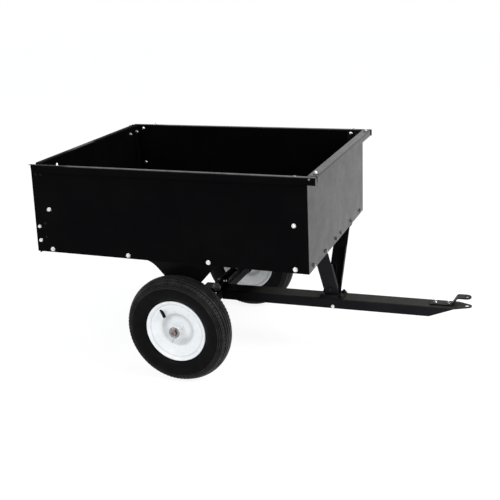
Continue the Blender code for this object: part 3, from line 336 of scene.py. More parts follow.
def dusted_and_sheened(tree, shader, shade, dust, reach=()):
    """Lay a thin patchy dust colour on the faces that look up, partly dust and partly a painted
    sheen.

    Each row of reach limits it, as (axis, station where it is clear, station where it is full).
    """
    coords = tree.nodes.new("ShaderNodeTexCoord")
    split = tree.nodes.new("ShaderNodeSeparateXYZ")
    tree.links.new(coords.outputs["Normal"], split.inputs["Vector"])
    # Painted sheen: faces that look up are blended toward the dust colour, partly dust and partly
    # painted sheen
    upward = spread(tree, split.outputs["Z"], 0.75, 1.0, 0.0, 1.0)
    patchy = product(tree, upward, spread(tree, noise(tree, 34.0, 5.0, 0.6), 0.3, 0.7, 0.55, 1.0))
    if reach:
        along = tree.nodes.new("ShaderNodeSeparateXYZ")
        tree.links.new(coords.outputs["Object"], along.inputs["Vector"])
        for axis, clear, full in reach:
            within = spread(tree, along.outputs[axis], clear, full, 0.0, 1.0)
            patchy = product(tree, patchy, within)
    mix = tree.nodes.new("ShaderNodeMixRGB")
    tree.links.new(patchy, mix.inputs["Fac"])
    tree.links.new(shade, mix.inputs["Color1"])
    mix.inputs["Color2"].default_value = (*dust, 1.0)
    tree.links.new(mix.outputs["Color"], shader.inputs["Base Color"])


def powder_coat(name, color, lighter, ior, rough_low, rough_high, dust, reach=(), painted_shadow=()):
    """Powder coat: fine orange peel, cloudy sheen, handling marks, and dust with painted sheen on
    upward faces.

    Where painted_shadow is given, as (shadow color, axis, start, end), the painted shadow color
    turns into the other between the two stations.
    """
    material, tree, shader = new_material(name, color, rough_low, 0.0, ior)
    cloud = noise(tree, 7.0, 4.0, 0.6)
    shade = two_colors(tree, cloud, color, lighter, (0.40, 0.75))
    if painted_shadow:
        shadow_color, axis, start, end = painted_shadow
        coords = tree.nodes.new("ShaderNodeTexCoord")
        along = tree.nodes.new("ShaderNodeSeparateXYZ")
        tree.links.new(coords.outputs["Object"], along.inputs["Vector"])
        mix = tree.nodes.new("ShaderNodeMixRGB")
        share = spread(tree, along.outputs[axis], start, end, 0.0, 1.0)
        tree.links.new(share, mix.inputs["Fac"])
        mix.inputs["Color1"].default_value = (*shadow_color, 1.0)
        tree.links.new(shade, mix.inputs["Color2"])
        shade = mix.outputs["Color"]
    dusted_and_sheened(tree, shader, shade, dust, reach)
    rough = spread(tree, noise(tree, 16.0, 5.0, 0.65), 0.3, 0.7, rough_low, rough_high)
    tree.links.new(rough, shader.inputs["Roughness"])
    peel = noise(tree, 420.0, 2.0, 0.5)
    wave = noise(tree, 2.6, 1.0, 0.4)
    bumps(tree, shader, [(wave, 0.25, 0.010), (peel, 0.12, 0.0004)])
    return material


# Painted shade on a rim's enamel, as (distance from the axle over DISH_REACH, gray)
DISH_REACH = 0.125
DISH_PAINTED_SHADE = ((0.02, 0.98), (0.31, 1.0), (0.41, 0.76), (0.49, 0.78), (0.53, 0.97), (0.60, 1.0),
               (0.79, 1.0), (0.822, 0.78), (0.850, 1.0), (0.98, 1.0))


def enamel(name):
    """Gloss white enamel: thick soft film with faint grime, and painted shade on the dish's steep
    wall and in the crease inside the lip.
    """
    material, tree, shader = new_material(name, (0.86, 0.88, 0.89), 0.22)
    grime = noise(tree, 28.0, 5.0, 0.6)
    shade = two_colors(tree, grime, (0.80, 0.82, 0.83), (0.88, 0.895, 0.905), (0.25, 0.5))
    coords = tree.nodes.new("ShaderNodeTexCoord")
    flat = tree.nodes.new("ShaderNodeVectorMath")
    flat.operation = "MULTIPLY"
    flat.inputs[1].default_value = (1.0, 0.0, 1.0)
    tree.links.new(coords.outputs["Object"], flat.inputs[0])
    reach = tree.nodes.new("ShaderNodeVectorMath")
    reach.operation = "DISTANCE"
    reach.inputs[1].default_value = (AXLE.x, 0.0, AXLE.z)
    tree.links.new(flat.outputs["Vector"], reach.inputs[0])
    # Painted shade: a gray ramp by distance from the axle darkens the dish's steep wall and the
    # crease inside the lip
    rings = tree.nodes.new("ShaderNodeValToRGB")
    ramp = rings.color_ramp
    for at, gray in DISH_PAINTED_SHADE:
        stop = ramp.elements.new(at)
        stop.color = (gray, gray * 1.01, gray * 1.015, 1.0)
    ramp.elements.remove(ramp.elements[0])
    ramp.elements.remove(ramp.elements[-1])
    share = spread(tree, reach.outputs["Value"], 0.0, DISH_REACH, 0.0, 1.0)
    tree.links.new(share, rings.inputs["Fac"])
    mix = tree.nodes.new("ShaderNodeMixRGB")
    mix.blend_type = "MULTIPLY"
    mix.inputs["Fac"].default_value = 1.0
    tree.links.new(shade, mix.inputs["Color1"])
    tree.links.new(rings.outputs["Color"], mix.inputs["Color2"])
    tree.links.new(mix.outputs["Color"], shader.inputs["Base Color"])
    rough = spread(tree, noise(tree, 45.0), 0.3, 0.7, 0.18, 0.34)
    tree.links.new(rough, shader.inputs["Roughness"])
    bumps(tree, shader, [(noise(tree, 180.0, 2.0), 0.10, 0.0004)])
    return material


def tyre_rubber(name, low, high, ior):
    """Matte rubber: mould grain and dusty patches."""
    material, tree, shader = new_material(name, low, 0.5, 0.0, ior)
    dust = noise(tree, 22.0, 6.0, 0.65)
    shade = two_colors(tree, dust, low, high, (0.40, 0.80))
    tree.links.new(shade, shader.inputs["Base Color"])
    rough = spread(tree, noise(tree, 60.0), 0.3, 0.7, 0.34, 0.52)
    tree.links.new(rough, shader.inputs["Roughness"])
    bumps(tree, shader, [(noise(tree, 900.0, 3.0), 0.20, 0.0003)])
    return material


def plated(name, low, high, rough_low, rough_high):
    """Metal with plating blotches and fine grain."""
    material, tree, shader = new_material(name, high, rough_low, 1.0)
    blotch = noise(tree, 90.0, 4.0, 0.6)
    tree.links.new(two_colors(tree, blotch, low, high, (0.3, 0.6)), shader.inputs["Base Color"])
    rough = spread(tree, noise(tree, 210.0), 0.3, 0.7, rough_low, rough_high)
    tree.links.new(rough, shader.inputs["Roughness"])
    bumps(tree, shader, [(noise(tree, 260.0, 3.0, 0.6), 0.15, 0.0003)])
    return material


# Where the dust with its painted sheen lies: ahead of a station on the sides, across a stretch of
# the tailgate as a painted highlight band, and ahead of the axle on the tongue, out of the bed's
# shadow, whose rear is a painted shadow
# Painted light: the sides' upward faces take the dust and painted sheen ahead of this station and
# stay dark behind it
SIDE_DUST_AND_SHEEN = (("X", BED_X - 0.372, BED_X - 0.340),)
# Painted highlight: only this stretch of the tailgate's top takes the pale dust tone
TAIL_DUST_AND_HIGHLIGHT = (("Y", -0.178, -0.118), ("Y", 0.026, 0.016))
# Painted light: the tongue's top takes the dust and painted sheen only ahead of the bed's shadow
TONGUE_DUST_AND_SHEEN = (("X", AXLE.x + 0.14, AXLE.x + 0.20),)
# Painted shadow: the tongue's rear under the bed is near black and turns to the tongue's own tone
# further ahead
TONGUE_PAINTED_SHADOW = ((0.0016, 0.0016, 0.0018), "X", AXLE.x + 0.10, AXLE.x + 0.24)

BLACK = powder_coat("black_panel_coat", (0.0017, 0.0017, 0.0021), (0.0026, 0.0026, 0.0029),
                    1.075, 0.26, 0.36, (0.145, 0.145, 0.145), SIDE_DUST_AND_SHEEN)
TAIL_BLACK = powder_coat("black_tailgate_coat", (0.0017, 0.0017, 0.0021), (0.0028, 0.0028, 0.0030),
                         1.05, 0.34, 0.46, (0.110, 0.110, 0.107), TAIL_DUST_AND_HIGHLIGHT)
FLOOR_BLACK = powder_coat("black_floor_coat", (0.0017, 0.0017, 0.0021), (0.0028, 0.0028, 0.0030),
                          1.12, 0.28, 0.40, (0.030, 0.030, 0.029))
SHEEN_BLACK = powder_coat("black_front_coat", (0.0016, 0.0016, 0.0020), (0.0026, 0.0026, 0.0029),
                          1.34, 0.24, 0.34, (0.014, 0.014, 0.014))
TONGUE_BLACK = powder_coat("black_tongue_coat", (0.0090, 0.0085, 0.0100), (0.0130, 0.0122, 0.0140),
                           1.10, 0.38, 0.52, (0.0300, 0.0295, 0.0262), TONGUE_DUST_AND_SHEEN, TONGUE_PAINTED_SHADOW)
# Painted light: the near leg alone gets this lighter copy of the frame black; the far leg keeps
# the frame black
NEAR_LEG_PAINTED_LIGHT_BLACK = powder_coat("black_near_leg_painted_light_coat", (0.0135, 0.0128, 0.0148), (0.0170, 0.0162, 0.0186),
                        1.06, 0.40, 0.54, (0.020, 0.0205, 0.0175))
# Painted light: a lighter copy of the black that brightens the channel, which sits in the bed's
# shade
CHANNEL_PAINTED_LIGHT_BLACK = powder_coat("black_channel_painted_light_coat", (0.0080, 0.0082, 0.0100),
                            (0.0130, 0.0132, 0.0160), 1.16, 0.34, 0.48, (0.045, 0.045, 0.050))
SHADE_BLACK = powder_coat("black_clamp_coat", (0.0016, 0.0016, 0.0018), (0.0030, 0.0029, 0.0030),
                          1.05, 0.45, 0.60, (0.004, 0.004, 0.004))
FRAME_BLACK = powder_coat("black_frame_coat", (0.0030, 0.0029, 0.0032), (0.0055, 0.0052, 0.0054),
                          1.16, 0.34, 0.48, (0.020, 0.0205, 0.0175))
WHITE = enamel("white_enamel")
RUBBER = tyre_rubber("wall_rubber", (0.0018, 0.0018, 0.0020), (0.0056, 0.0052, 0.0050), 1.14)
# Paler rubber of the tread and the shoulder ribs' crests: partly dust, partly painted highlight
TREAD_DUST_AND_HIGHLIGHT_RUBBER = tyre_rubber("tread_rubber_dust_and_painted_highlight", (0.0060, 0.0057, 0.0058), (0.0340, 0.0315, 0.0318),
                           1.24)
ZINC = plated("bright_zinc", (0.50, 0.50, 0.48), (0.86, 0.86, 0.84), 0.20, 0.36)
DARK_ZINC = plated("dull_zinc", (0.10, 0.10, 0.10), (0.34, 0.34, 0.33), 0.30, 0.50)
BLACK_ZINC = plated("black_zinc", (0.006, 0.006, 0.007), (0.020, 0.020, 0.021), 0.36, 0.55)
GRAY_ZINC = plated("gray_zinc", (0.085, 0.082, 0.084), (0.180, 0.174, 0.176), 0.40, 0.60)
STEEL = plated("bare_steel", (0.020, 0.010, 0.009), (0.30, 0.25, 0.24), 0.34, 0.52)
PIN_STEEL = plated("pin_steel", (0.30, 0.30, 0.29), (0.55, 0.55, 0.52), 0.26, 0.42)
BRONZE = plated("plain_bronze", (0.05, 0.035, 0.025), (0.12, 0.085, 0.055), 0.38, 0.55)
FRAME_NODES = (
    "hitch_strap", "latch_plate", "axle_saddle_right", "axle_saddle_left", "leg_left",
    "wheel_support_right", "wheel_support_left",
)
PIECE_FINISHES = {"front_panel": SHEEN_BLACK, "bed_floor": FLOOR_BLACK, "tailgate": TAIL_BLACK,
                  "tongue": TONGUE_BLACK, "axle_channel": CHANNEL_PAINTED_LIGHT_BLACK, "clamp_tube": SHADE_BLACK,
                  "clamp_cheek_right": SHADE_BLACK, "clamp_cheek_left": SHADE_BLACK,
                  "latch_lever": SHADE_BLACK, "leg_right": NEAR_LEG_PAINTED_LIGHT_BLACK}
FINISHES = {"white_paint": WHITE, "tyre_rubber": RUBBER, "zinc_plate": ZINC,
            "bronze_bush": BRONZE, "bare_steel": STEEL, "black_paint": BLACK}


def dress_nodes():
    """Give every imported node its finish."""
    slots = {row["node"]: row["material_slot"] for row in frame["record"]["subparts"]}
    for name, node in NODES.items():
        finish = FRAME_BLACK if name in FRAME_NODES else FINISHES[slots[name]]
        finish = PIECE_FINISHES.get(name, finish)
        node.data.materials.clear()
        node.data.materials.append(finish)


# Wheels

def smooth_line(points, per_span=5):
    """Catmull-Rom curve through points, ends kept."""
    line = []
    padded = [points[0]] + list(points) + [points[-1]]
    for a, b, c, d in zip(padded, padded[1:], padded[2:], padded[3:]):
        for i in range(per_span):
            t = i / per_span
            spot = []
            for p, q, r, s in zip(a, b, c, d):
                spot.append(0.5 * (2 * q + (r - p) * t + (2 * p - 5 * q + 4 * r - s) * t * t
                                   + (3 * q - p - 3 * r + s) * t ** 3))
            line.append(tuple(spot))
    line.append(tuple(points[-1]))
    return line


def rounded(points, steps=4):
    """Closed outline with each corner (u, v, radius) rounded by a short curve."""
    result = []
    count = len(points)
    for i, (u, v, radius) in enumerate(points):
        here = Vector((u, v))
        before = Vector(points[i - 1][:2])
        after = Vector(points[(i + 1) % count][:2])
        if radius <= 0:
            result.append((u, v))
            continue
        back = before - here
        ahead = after - here
        reach = min(radius, back.length * 0.49, ahead.length * 0.49)
        start = here + back.normalized() * reach
        stop = here + ahead.normalized() * reach
        for k in range(steps + 1):
            t = k / steps
            spot = start * (1 - t) ** 2 + here * (2 * t * (1 - t)) + stop * t * t
            result.append((spot.x, spot.y))
    return result


def wheel_ring(bm, profile_at, center, side, steps):
    """Closed ring about the wheel's axis; profile_at gives the loop at each step."""
    rings = []
    for k in range(steps):
        angle = 2 * math.pi * k / steps
        ring = []
        for radius, out in profile_at(k):
            ring.append((center.x + radius * math.cos(angle), center.y + side * out,
                         center.z + radius * math.sin(angle)))
        rings.append(ring)
    skin(bm, rings, None, closed=False)


# Grooves as shares of the tread's half width, ribs as (radius, height, half width)
TREAD_GROOVES = (-0.78, -0.50, -0.17, 0.17, 0.50, 0.78)
WALL_RIBS = ((0.1290, 0.0010, 0.0016), (0.1340, 0.0008, 0.0014), (0.1655, 0.0008, 0.0012),
             (0.1715, 0.0014, 0.0014), (0.1775, 0.0018, 0.0014), (0.1830, 0.0020, 0.0013),
             (0.1878, 0.0018, 0.0011))


def tread_loop(phase):
    """Tyre's section: smooth walls, shoulder sipes and zigzag grooves between the ribs."""
    across = TYRE_HALF * TREAD_SHARE
    shoulder = TYRE_RADIUS - TREAD_DROP
    wall = smooth_line([(0.1192, 0.0322), (0.1245, 0.0378), (0.1370, 0.0446), (0.1560, 0.0482),
                        (0.1690, 0.0474), (0.1800, 0.0440),
                        (shoulder - 0.0022, across + 0.0036)], 8)
    ribs = []
    for radius, out in wall:
        for at, height, width in WALL_RIBS:
            out += height * math.exp(-((radius - at) / width) ** 2)
        ribs.append((radius, out))
    sway = ZIGZAG_SWAY * (4 * abs(phase - 0.5) - 1)
    notch = SIPE_DEPTH if phase < SIPE_SHARE else 0.0
    tread = [(shoulder + 0.0006 - notch, across + 0.0022)]
    samples = [1.0, 0.965, 0.93, 0.90]
    for at in reversed(TREAD_GROOVES):
        center = at + sway
        samples += [center + 0.068, center + 0.050, center + 0.030]
        samples += [center - 0.030, center - 0.050, center - 0.068]
    samples += [-0.90, -0.93, -0.965, -1.0]
    for share in samples:
        radius = TYRE_RADIUS - TREAD_DROP * abs(share) ** TREAD_CURVE
        for at in TREAD_GROOVES:
            gap = abs(share - at - sway)
            if gap < 0.04:
                radius -= GROOVE_DEPTH
            elif gap < 0.06:
                radius -= GROOVE_DEPTH * 0.25
        if abs(share) > 0.91:
            radius -= notch
        tread.append((radius, across * share))
    tread.append((shoulder + 0.0006 - notch, -across - 0.0022))
    mirrored = [(radius, -out) for radius, out in reversed(ribs)]
    inside = [(0.1040, -0.0265), (0.1040, -0.0180), (0.1240, -0.0260), (0.1560, -0.0400),
              (0.1850, -0.0300), (0.1880, 0.0), (0.1850, 0.0300), (0.1560, 0.0400),
              (0.1240, 0.0260), (0.1040, 0.0180), (0.1040, 0.0265)]
    return ribs + tread + mirrored + inside


def make_tyre(side, word):
    """Tyre; tread and outer rib crests in paler rubber, partly dust and partly painted highlight;
    gives the wheel's middle.
    """
    low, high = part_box("tyre_" + word)
    center = (low + high) / 2
    period = TYRE_TURN // ZIGZAG_TURN
    loops = [tread_loop(k / period) for k in range(period)]
    bm = bmesh.new()
    wheel_ring(bm, lambda k: loops[k % period], center, side, TYRE_TURN)
    tyre = add_piece("tread_" + word, bm, "wheel_" + word, RUBBER,
                     ("tyre_" + word,), 40.0)
    tyre.data.materials.append(TREAD_DUST_AND_HIGHLIGHT_RUBBER)
    for polygon in tyre.data.polygons:
        spot = polygon.center
        radius = math.hypot(spot.x - center.x, spot.z - center.z)
        share = abs(spot.y - center.y) / (TYRE_HALF * TREAD_SHARE)
        crown = TYRE_RADIUS - TREAD_DROP * min(share, 1.0) ** TREAD_CURVE
        on_tread = radius > TREAD_FROM and radius > crown - GROOVE_DEPTH / 2
        on_rib = any(abs(radius - rib[0]) < rib[2] for rib in WALL_RIBS[3:])
        # Painted highlight: the tread's faces and the crests of the outer ribs take the paler
        # rubber
        if on_tread or on_rib:
            polygon.material_index = 1
    return center


def rim_loop():
    """Pressed half with a rolled lip, a shallow step inside it, a sloping disc and a dish."""
    half = RIM_HALF
    return rounded([
        (0.1165, half - 0.0068, 0.0008), (0.1185, half - 0.0030, 0.0022), (0.1160, half, 0.0022),
        (0.1092, half - 0.0016, 0.0030), (0.1052, half - 0.0064, 0.0026),
        (0.1022, half - 0.0078, 0.0020), (0.0985, half - 0.0066, 0.0025),
        (0.0800, half - 0.0132, 0.0060), (0.0655, half - 0.0180, 0.0045),
        (0.0530, half - 0.0322, 0.0070), (0.0400, 0.0034, 0.0050), (0.0300, 0.0034, 0.0030),
        (0.0215, 0.0050, 0.0020), (0.0174, 0.0064, 0.0010),
        (0.0174, 0.0003, 0.0003), (0.0380, 0.0003, 0.0040), (0.0510, half - 0.0345, 0.0060),
        (0.0640, half - 0.0204, 0.0045), (0.0790, half - 0.0158, 0.0060),
        (0.0965, half - 0.0096, 0.0010), (0.0990, half - 0.0125, 0.0015), (0.0990, 0.0003, 0.0003),
        (0.1016, 0.0003, 0.0003), (0.1016, half - 0.0110, 0.0020), (0.1060, half - 0.0090, 0.0020),
        (0.1100, half - 0.0046, 0.0015), (0.1150, half - 0.0034, 0.0006),
    ], 4)


def make_rim(center, side, word):
    """Outer and inner pressed half, back to back."""
    for name, facing_side in (("outer", side), ("inner", -side)):
        bm = bmesh.new()
        loop = rim_loop()
        wheel_ring(bm, lambda k: loop, center, facing_side, RIM_TURN)
        add_piece("rim_" + name + "_face_" + word, bm, "wheel_" + word, WHITE,
                  ("rim_" + name + "_" + word,), 50.0)


def make_hub(center, side, word):
    """Hub tube with rounded ends and the weld round it at the rim."""
    low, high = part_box("hub_" + word)
    inner = min(abs(low.y), abs(high.y)) - WHEEL_PLANE
    outer = max(abs(low.y), abs(high.y)) - WHEEL_PLANE
    bm = bmesh.new()
    loop = rounded([(HUB_BORE, inner, 0.0006), (HUB_RADIUS, inner, 0.0012),
                    (HUB_RADIUS, outer, 0.0012), (HUB_BORE, outer, 0.0006)])
    wheel_ring(bm, lambda k: loop, center, side, 64)
    weld = rounded([(0.0166, 0.0030, 0.001), (0.0215, 0.0030, 0.001), (0.0210, 0.0072, 0.003),
                    (0.0178, 0.0098, 0.003), (0.0166, 0.0098, 0.001)])

    def rippled(k):
        ripple = 0.0004 * math.sin(k * 2.1)
        return [(radius + ripple, out) for radius, out in weld]

    wheel_ring(bm, rippled, center, side, 64)
    add_piece("hub_tube_" + word, bm, "wheel_" + word, WHITE,
              ("hub_" + word,), 45.0)


def make_washers(word):
    """Rounded washers with a turned face."""
    for place in ("outer", "inner"):
        node = "axle_washer_" + place + "_" + word
        low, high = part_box(node)
        bm = bmesh.new()
        base = facing((AXLE.x, low.y, AXLE.z), (0, 1, 0))
        thick = high.y - low.y
        reach = (high.z - low.z) / 2
        loop = rounded([(WASHER_BORE, 0.0, 0.0003), (reach, 0.0, 0.0006), (reach, thick, 0.0006),
                        (WASHER_BORE, thick, 0.0003)], 3)
        pipe_stack(bm, base, loop, 64)
        add_piece(place + "_washer_" + word, bm, "drawbar", DARK_ZINC,
                  (node,), 40.0)


def wire(bm, points, radius, sides=10):
    """Round wire through points, its ends closed."""
    rings = []
    side_way = None
    for i, point in enumerate(points):
        before = Vector(points[max(i - 1, 0)])
        after = Vector(points[min(i + 1, len(points) - 1)])
        run = (after - before).normalized()
        if side_way is None:
            side_way = run.orthogonal().normalized()
        side_way = (side_way - run * side_way.dot(run)).normalized()
        other = run.cross(side_way)
        ring = []
        for k in range(sides):
            angle = 2 * math.pi * k / sides
            away = side_way * math.cos(angle) + other * math.sin(angle)
            ring.append(Vector(point) + away * radius)
        rings.append(ring)
    skin(bm, rings)


def make_cotter(side, word):
    """Split pin: an eye above the axle, two legs through it and bent apart below."""
    low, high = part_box("cotter_pin_" + word)
    y = (low.y + high.y) / 2
    top = AXLE.z + AXLE_RADIUS + 0.0008 + PIN_EYE
    bm = bmesh.new()
    for half in (-1, 1):
        shift = half * 0.00075
        points = []
        for i in range(11):
            angle = math.radians(90 - 160 * i / 10)
            points.append((AXLE.x + half * PIN_EYE * math.cos(angle), y,
                           top + PIN_EYE * math.sin(angle)))
        points.append((AXLE.x + shift, y, top - PIN_EYE - 0.0012))
        points.append((AXLE.x + shift, y, AXLE.z - AXLE_RADIUS - 0.0005))
        bend = 0.0060 if half > 0 else -0.0080
        drop = 0.0125 if half > 0 else 0.0290
        for share in (0.15, 0.4, 0.7, 1.0):
            points.append((AXLE.x + shift + bend * share ** 1.6, y + side * 0.0014 * share,
                           AXLE.z - AXLE_RADIUS - drop * share))
        wire(bm, points, PIN_WIRE)
    add_piece("split_pin_" + word, bm, "drawbar", PIN_STEEL,
              ("cotter_pin_" + word,), 60.0)


def make_valve(center, side, word):
    """Rubber stem with a rounded foot, a short neck and a ribbed cap."""
    away = Vector((math.cos(VALVE_ANGLE), 0.0, math.sin(VALVE_ANGLE)))
    outward = Vector((0.0, side, 0.0))
    base = center + away * VALVE_BASE[0] + outward * VALVE_BASE[1]
    tip = center + away * VALVE_TIP[0] + outward * VALVE_TIP[1]
    place = facing(base, tip - base)
    length = (tip - base).length
    bm = bmesh.new()
    turned_stack(bm, place, [
        (0.0034, -0.0006), (0.0055, 0.0), (0.0062, 0.0012), (0.0060, 0.0030), (0.0057, 0.0060),
        (0.0056, length * 0.50), (0.0048, length * 0.54), (0.0048, length * 0.62)], 32)
    rings = []
    for share, radius in ((0.58, 0.0053), (0.60, 0.0058), (0.93, 0.0058), (0.98, 0.0053),
                          (1.0, 0.0038)):
        ring = []
        for k in range(CAP_RIBS * 2):
            turn = math.pi * k / CAP_RIBS
            reach = radius * (0.965 if k % 2 else 1.0)
            ring.append((reach * math.cos(turn), reach * math.sin(turn), length * share))
        rings.append(ring)
    skin(bm, rings, place)
    add_piece("valve_" + word, bm, "wheel_" + word, RUBBER,
              ("valve_stem_" + word,), 50.0)


# Fasteners
# A hexagon's size is its bolt's radius and the width across its flats
BOLT_RADIUS = 0.0040
BOLT_FLATS = 0.0127
SMALL_RADIUS = 0.0036
SMALL_FLATS = 0.0113
BOLT_WASHER = 0.0012
TWO_SHEETS = 2 * SHEET + GAP

# On the side walls, as (x from the bed's middle, height)
SIDE_HEADS = ((-0.4675, 0.4760), (-0.1470, 0.4765), (0.1690, 0.4765), (0.4870, 0.4780))
SIDE_NUTS = ((-0.4605, 0.6320), (0.4866, 0.6320))
SIDE_TOPS = ((-0.4565, 0.7852), (0.4870, 0.7852))
REAR_NUTS = ((-0.5123, 0.5631), (-0.5151, 0.5088))
REAR_RIVETS = ((-0.4860, 0.5759), (-0.4891, 0.5218), (-0.4790, 0.7628), (-0.5000, 0.7632))

# On the top flanges, as (x from the bed's middle, y)
FLANGE_BOLT = (-0.3980, 0.3880)
FLANGE_DOME = (0.4960, 0.3910)
CORNER_BOLT = (0.5552, 0.3500)
# Thickness of the dark disc under the corner bolt, a painted shadow
CORNER_SHADOW_DISC = 0.0014
LIP_RIVET = (0.5474, 0.4005)
LIP_RIVET_BELOW = 0.0064

# Through the floor, as (x from the bed's middle, y, nut's seat below the floor)
FLOOR_BOLTS = ((-0.098, 0.272, 0.0043), (0.152, 0.272, 0.0043), (0.5085, 0.180, 0.0033))
FLOOR_NUT = 0.0062
FLOOR_BOLT_END = 0.0030

# Through the tailgate and its front guides, as (y, height)
TAILGATE_BOLT = (0.3142, 0.7700)
GUIDE_BOLT = (0.3642, 0.7720)
GUIDE_FACE = 0.0045       # ahead of the tailgate's middle

# Along the foot of the front panel, as y
FRONT_HEADS = (-0.3275, -0.1815, -0.0385, 0.0350, 0.1860, 0.3290)
FRONT_HEADS_HEIGHT = 0.4786

# On the drawbar, from the axle's centre and along its slope
TONGUE_TOP = 0.0215
TONGUE_SHEET = 0.0030
TONGUE_FACE = 0.0383
STRAP_THICK = 0.0050
PLATE_THICK = 0.0040
HITCH_BOLTS_AT = (0.8700, 0.9180)
PLATE_BOLTS_AT = (0.4445, 0.5195)
PLATE_BOLT_Y = 0.0255
STRIKER_AT = 0.4912
STRIKER_LEVEL = -0.0072
STRIKER_GRIP = 0.0766

# Latch's pivot, as (x from the bed's middle, height), and its bolt's head and nut with end
PIVOT_AT = (0.5100, 0.2750)
PIVOT_HEAD = 0.0048
PIVOT_NUT_END = 0.0090

# Clamp and the axle channel below it, as (x, z) or (x, y) along the drawbar
CLAMP_AT = (0.0142, 0.0350)
CHEEK_FACE = 0.0426 + GAP * 2
CLAMP_RADIUS = 0.0049
CLAMP_FLATS = 0.0330
CLAMP_HEAD = 0.0040
CLAMP_NUT_FLATS = 0.0135
CLAMP_NUT = 0.0060
CHEEK_SCREW = (0.0095, 0.0085)
TUBE_FACE = 0.0131
TUBE_SCREWS = ((0.0083, 44.0), (0.0249, 10.0))    # y, and degrees up from straight ahead
CHANNEL_TILT = 0.0007     # rise of the channel's front edge over its middle
CHANNEL_RIVETS = ((-0.0300, 0.0800), (-0.0190, 0.0640))


def on_side(spot, side, spin=0.0):
    """Seat on a side wall's outer face."""
    x, z = spot
    return facing((BED_X + x, side * SIDE_FACE, z), (0, side, 0), spin)


def on_flange(spot, side, spin=0.0):
    """Seat on top of the bed's flanges."""
    x, y = spot
    return facing((BED_X + x, side * y, BED_TOP), (0, 0, 1), spin)


def add_side_bolts(side, word):
    """Hexagon heads along the floor, domes inside at the top and the flange's bolt."""
    bm = bmesh.new()
    for i, spot in enumerate(SIDE_HEADS):
        place = on_side(spot, side, 0.4 + 0.7 * i)
        hex_bolt(bm, place, BOLT_RADIUS, BOLT_FLATS, TWO_SHEETS, 0.0046, washer=BOLT_WASHER)
    for x, z in SIDE_TOPS:
        inner_face = (BED_X + x, side * (SIDE_FACE - 2 * SHEET - GAP), z)
        dome(bm, facing(inner_face, (0, -side, 0), 0.3), 0.0072, 0.0032)
    nut_out_bolt(bm, on_flange(FLANGE_BOLT, side, 0.38), 0.0028, 0.0080, SHEET, 0.0050, 0.0022)
    add_piece("side_bolts_" + word, bm, "bed", ZINC)


def add_side_nuts(side, word):
    """Nuts and bolt ends on a side wall's outer face."""
    bm = bmesh.new()
    for i, spot in enumerate(SIDE_NUTS):
        nut_out_bolt(bm, on_side(spot, side, 0.2 + i), BOLT_RADIUS, BOLT_FLATS, TWO_SHEETS)
    for i, spot in enumerate(REAR_NUTS):
        place = on_side(spot, side, 0.5 * i)
        nut_out_bolt(bm, place, SMALL_RADIUS, SMALL_FLATS, TWO_SHEETS, 0.003)
    add_piece("side_nuts_" + word, bm, "bed", ZINC)


def add_side_rivets(side, word):
    """Painted rivets that hold the tailgate's guides."""
    bm = bmesh.new()
    for spot in REAR_RIVETS:
        dome(bm, on_side(spot, side), 0.0052, 0.0020)
    add_piece("side_rivets_" + word, bm, "bed", FRAME_BLACK)


def add_rail_domes(side, word):
    """Domed head near the front end of a side flange."""
    bm = bmesh.new()
    dome(bm, on_flange(FLANGE_DOME, side), 0.0066, 0.0030)
    add_piece("rail_domes_" + word, bm, "bed", DARK_ZINC)


def add_corner(side, word):
    """Front flange's corner: a bolt on a dark disc that is a painted shadow round it, and a rivet
    in the lip beside it.
    """
    seat = on_flange(CORNER_BOLT, side, 0.5)
    bm = bmesh.new()
    turned_stack(bm, seat, [(0.0092, 0.0), (0.0096, 0.0004), (0.0096, 0.0010),
                            (0.0090, CORNER_SHADOW_DISC)], 36)
    add_piece("corner_shadow_discs_" + word, bm, "bed", BLACK_ZINC)
    bm = bmesh.new()
    place = seat @ Matrix.Translation((0, 0, CORNER_SHADOW_DISC))
    nut_out_bolt(bm, place, SMALL_RADIUS, SMALL_FLATS, SHEET + CORNER_SHADOW_DISC, 0.0030, 0.0026)
    add_piece("corner_bolts_" + word, bm, "bed", ZINC)
    bm = bmesh.new()
    x, y = LIP_RIVET
    rivet = (BED_X + x, side * y, BED_TOP - LIP_RIVET_BELOW)
    dome(bm, facing(rivet, (0, side, 0)), 0.0036, 0.0016)
    add_piece("lip_rivets_" + word, bm, "bed", GRAY_ZINC)


def add_tailgate_bolts():
    """Bolts near the top of the tailgate, nuts inward."""
    bm = bmesh.new()
    y, height = TAILGATE_BOLT
    for side in (-1, 1):
        place = facing((BED_X + TAILGATE_AT + SHEET / 2, side * y, height), (1, 0, 0), 0.3)
        nut_out_bolt(bm, place, BOLT_RADIUS, 0.0132, SHEET, 0.0030, 0.0026)
    add_piece("tailgate_bolts", bm, "tailgate", ZINC)


def add_floor_bolts():
    """Bolts of the tailgate's guides, and domed bolts down through the floor."""
    bm = bmesh.new()
    y, height = GUIDE_BOLT
    for side in (-1, 1):
        place = facing((BED_X + TAILGATE_AT + GUIDE_FACE, side * y, height), (1, 0, 0), 0.6)
        nut_out_bolt(bm, place, 0.0042, 0.0135, SHEET, 0.0030, 0.0016)
    for side in (-1, 1):
        for x, y, below in FLOOR_BOLTS:
            place = facing((BED_X + x, side * y, FLOOR_UNDER + SHEET), (0, 0, 1), 9.0 * x)
            dome(bm, place, 0.0082, 0.0034)
            under = facing((BED_X + x, side * y, FLOOR_UNDER - below), (0, 0, -1), 5.0 * x)
            hexagon(bm, under, BOLT_FLATS, 0.0, FLOOR_NUT, False, True)
            flip = under @ Matrix.Rotation(math.pi, 4, "X")
            thread_end(bm, flip, BOLT_RADIUS, -FLOOR_NUT - FLOOR_BOLT_END, -0.0050)
    add_piece("floor_bolts", bm, "bed", ZINC)


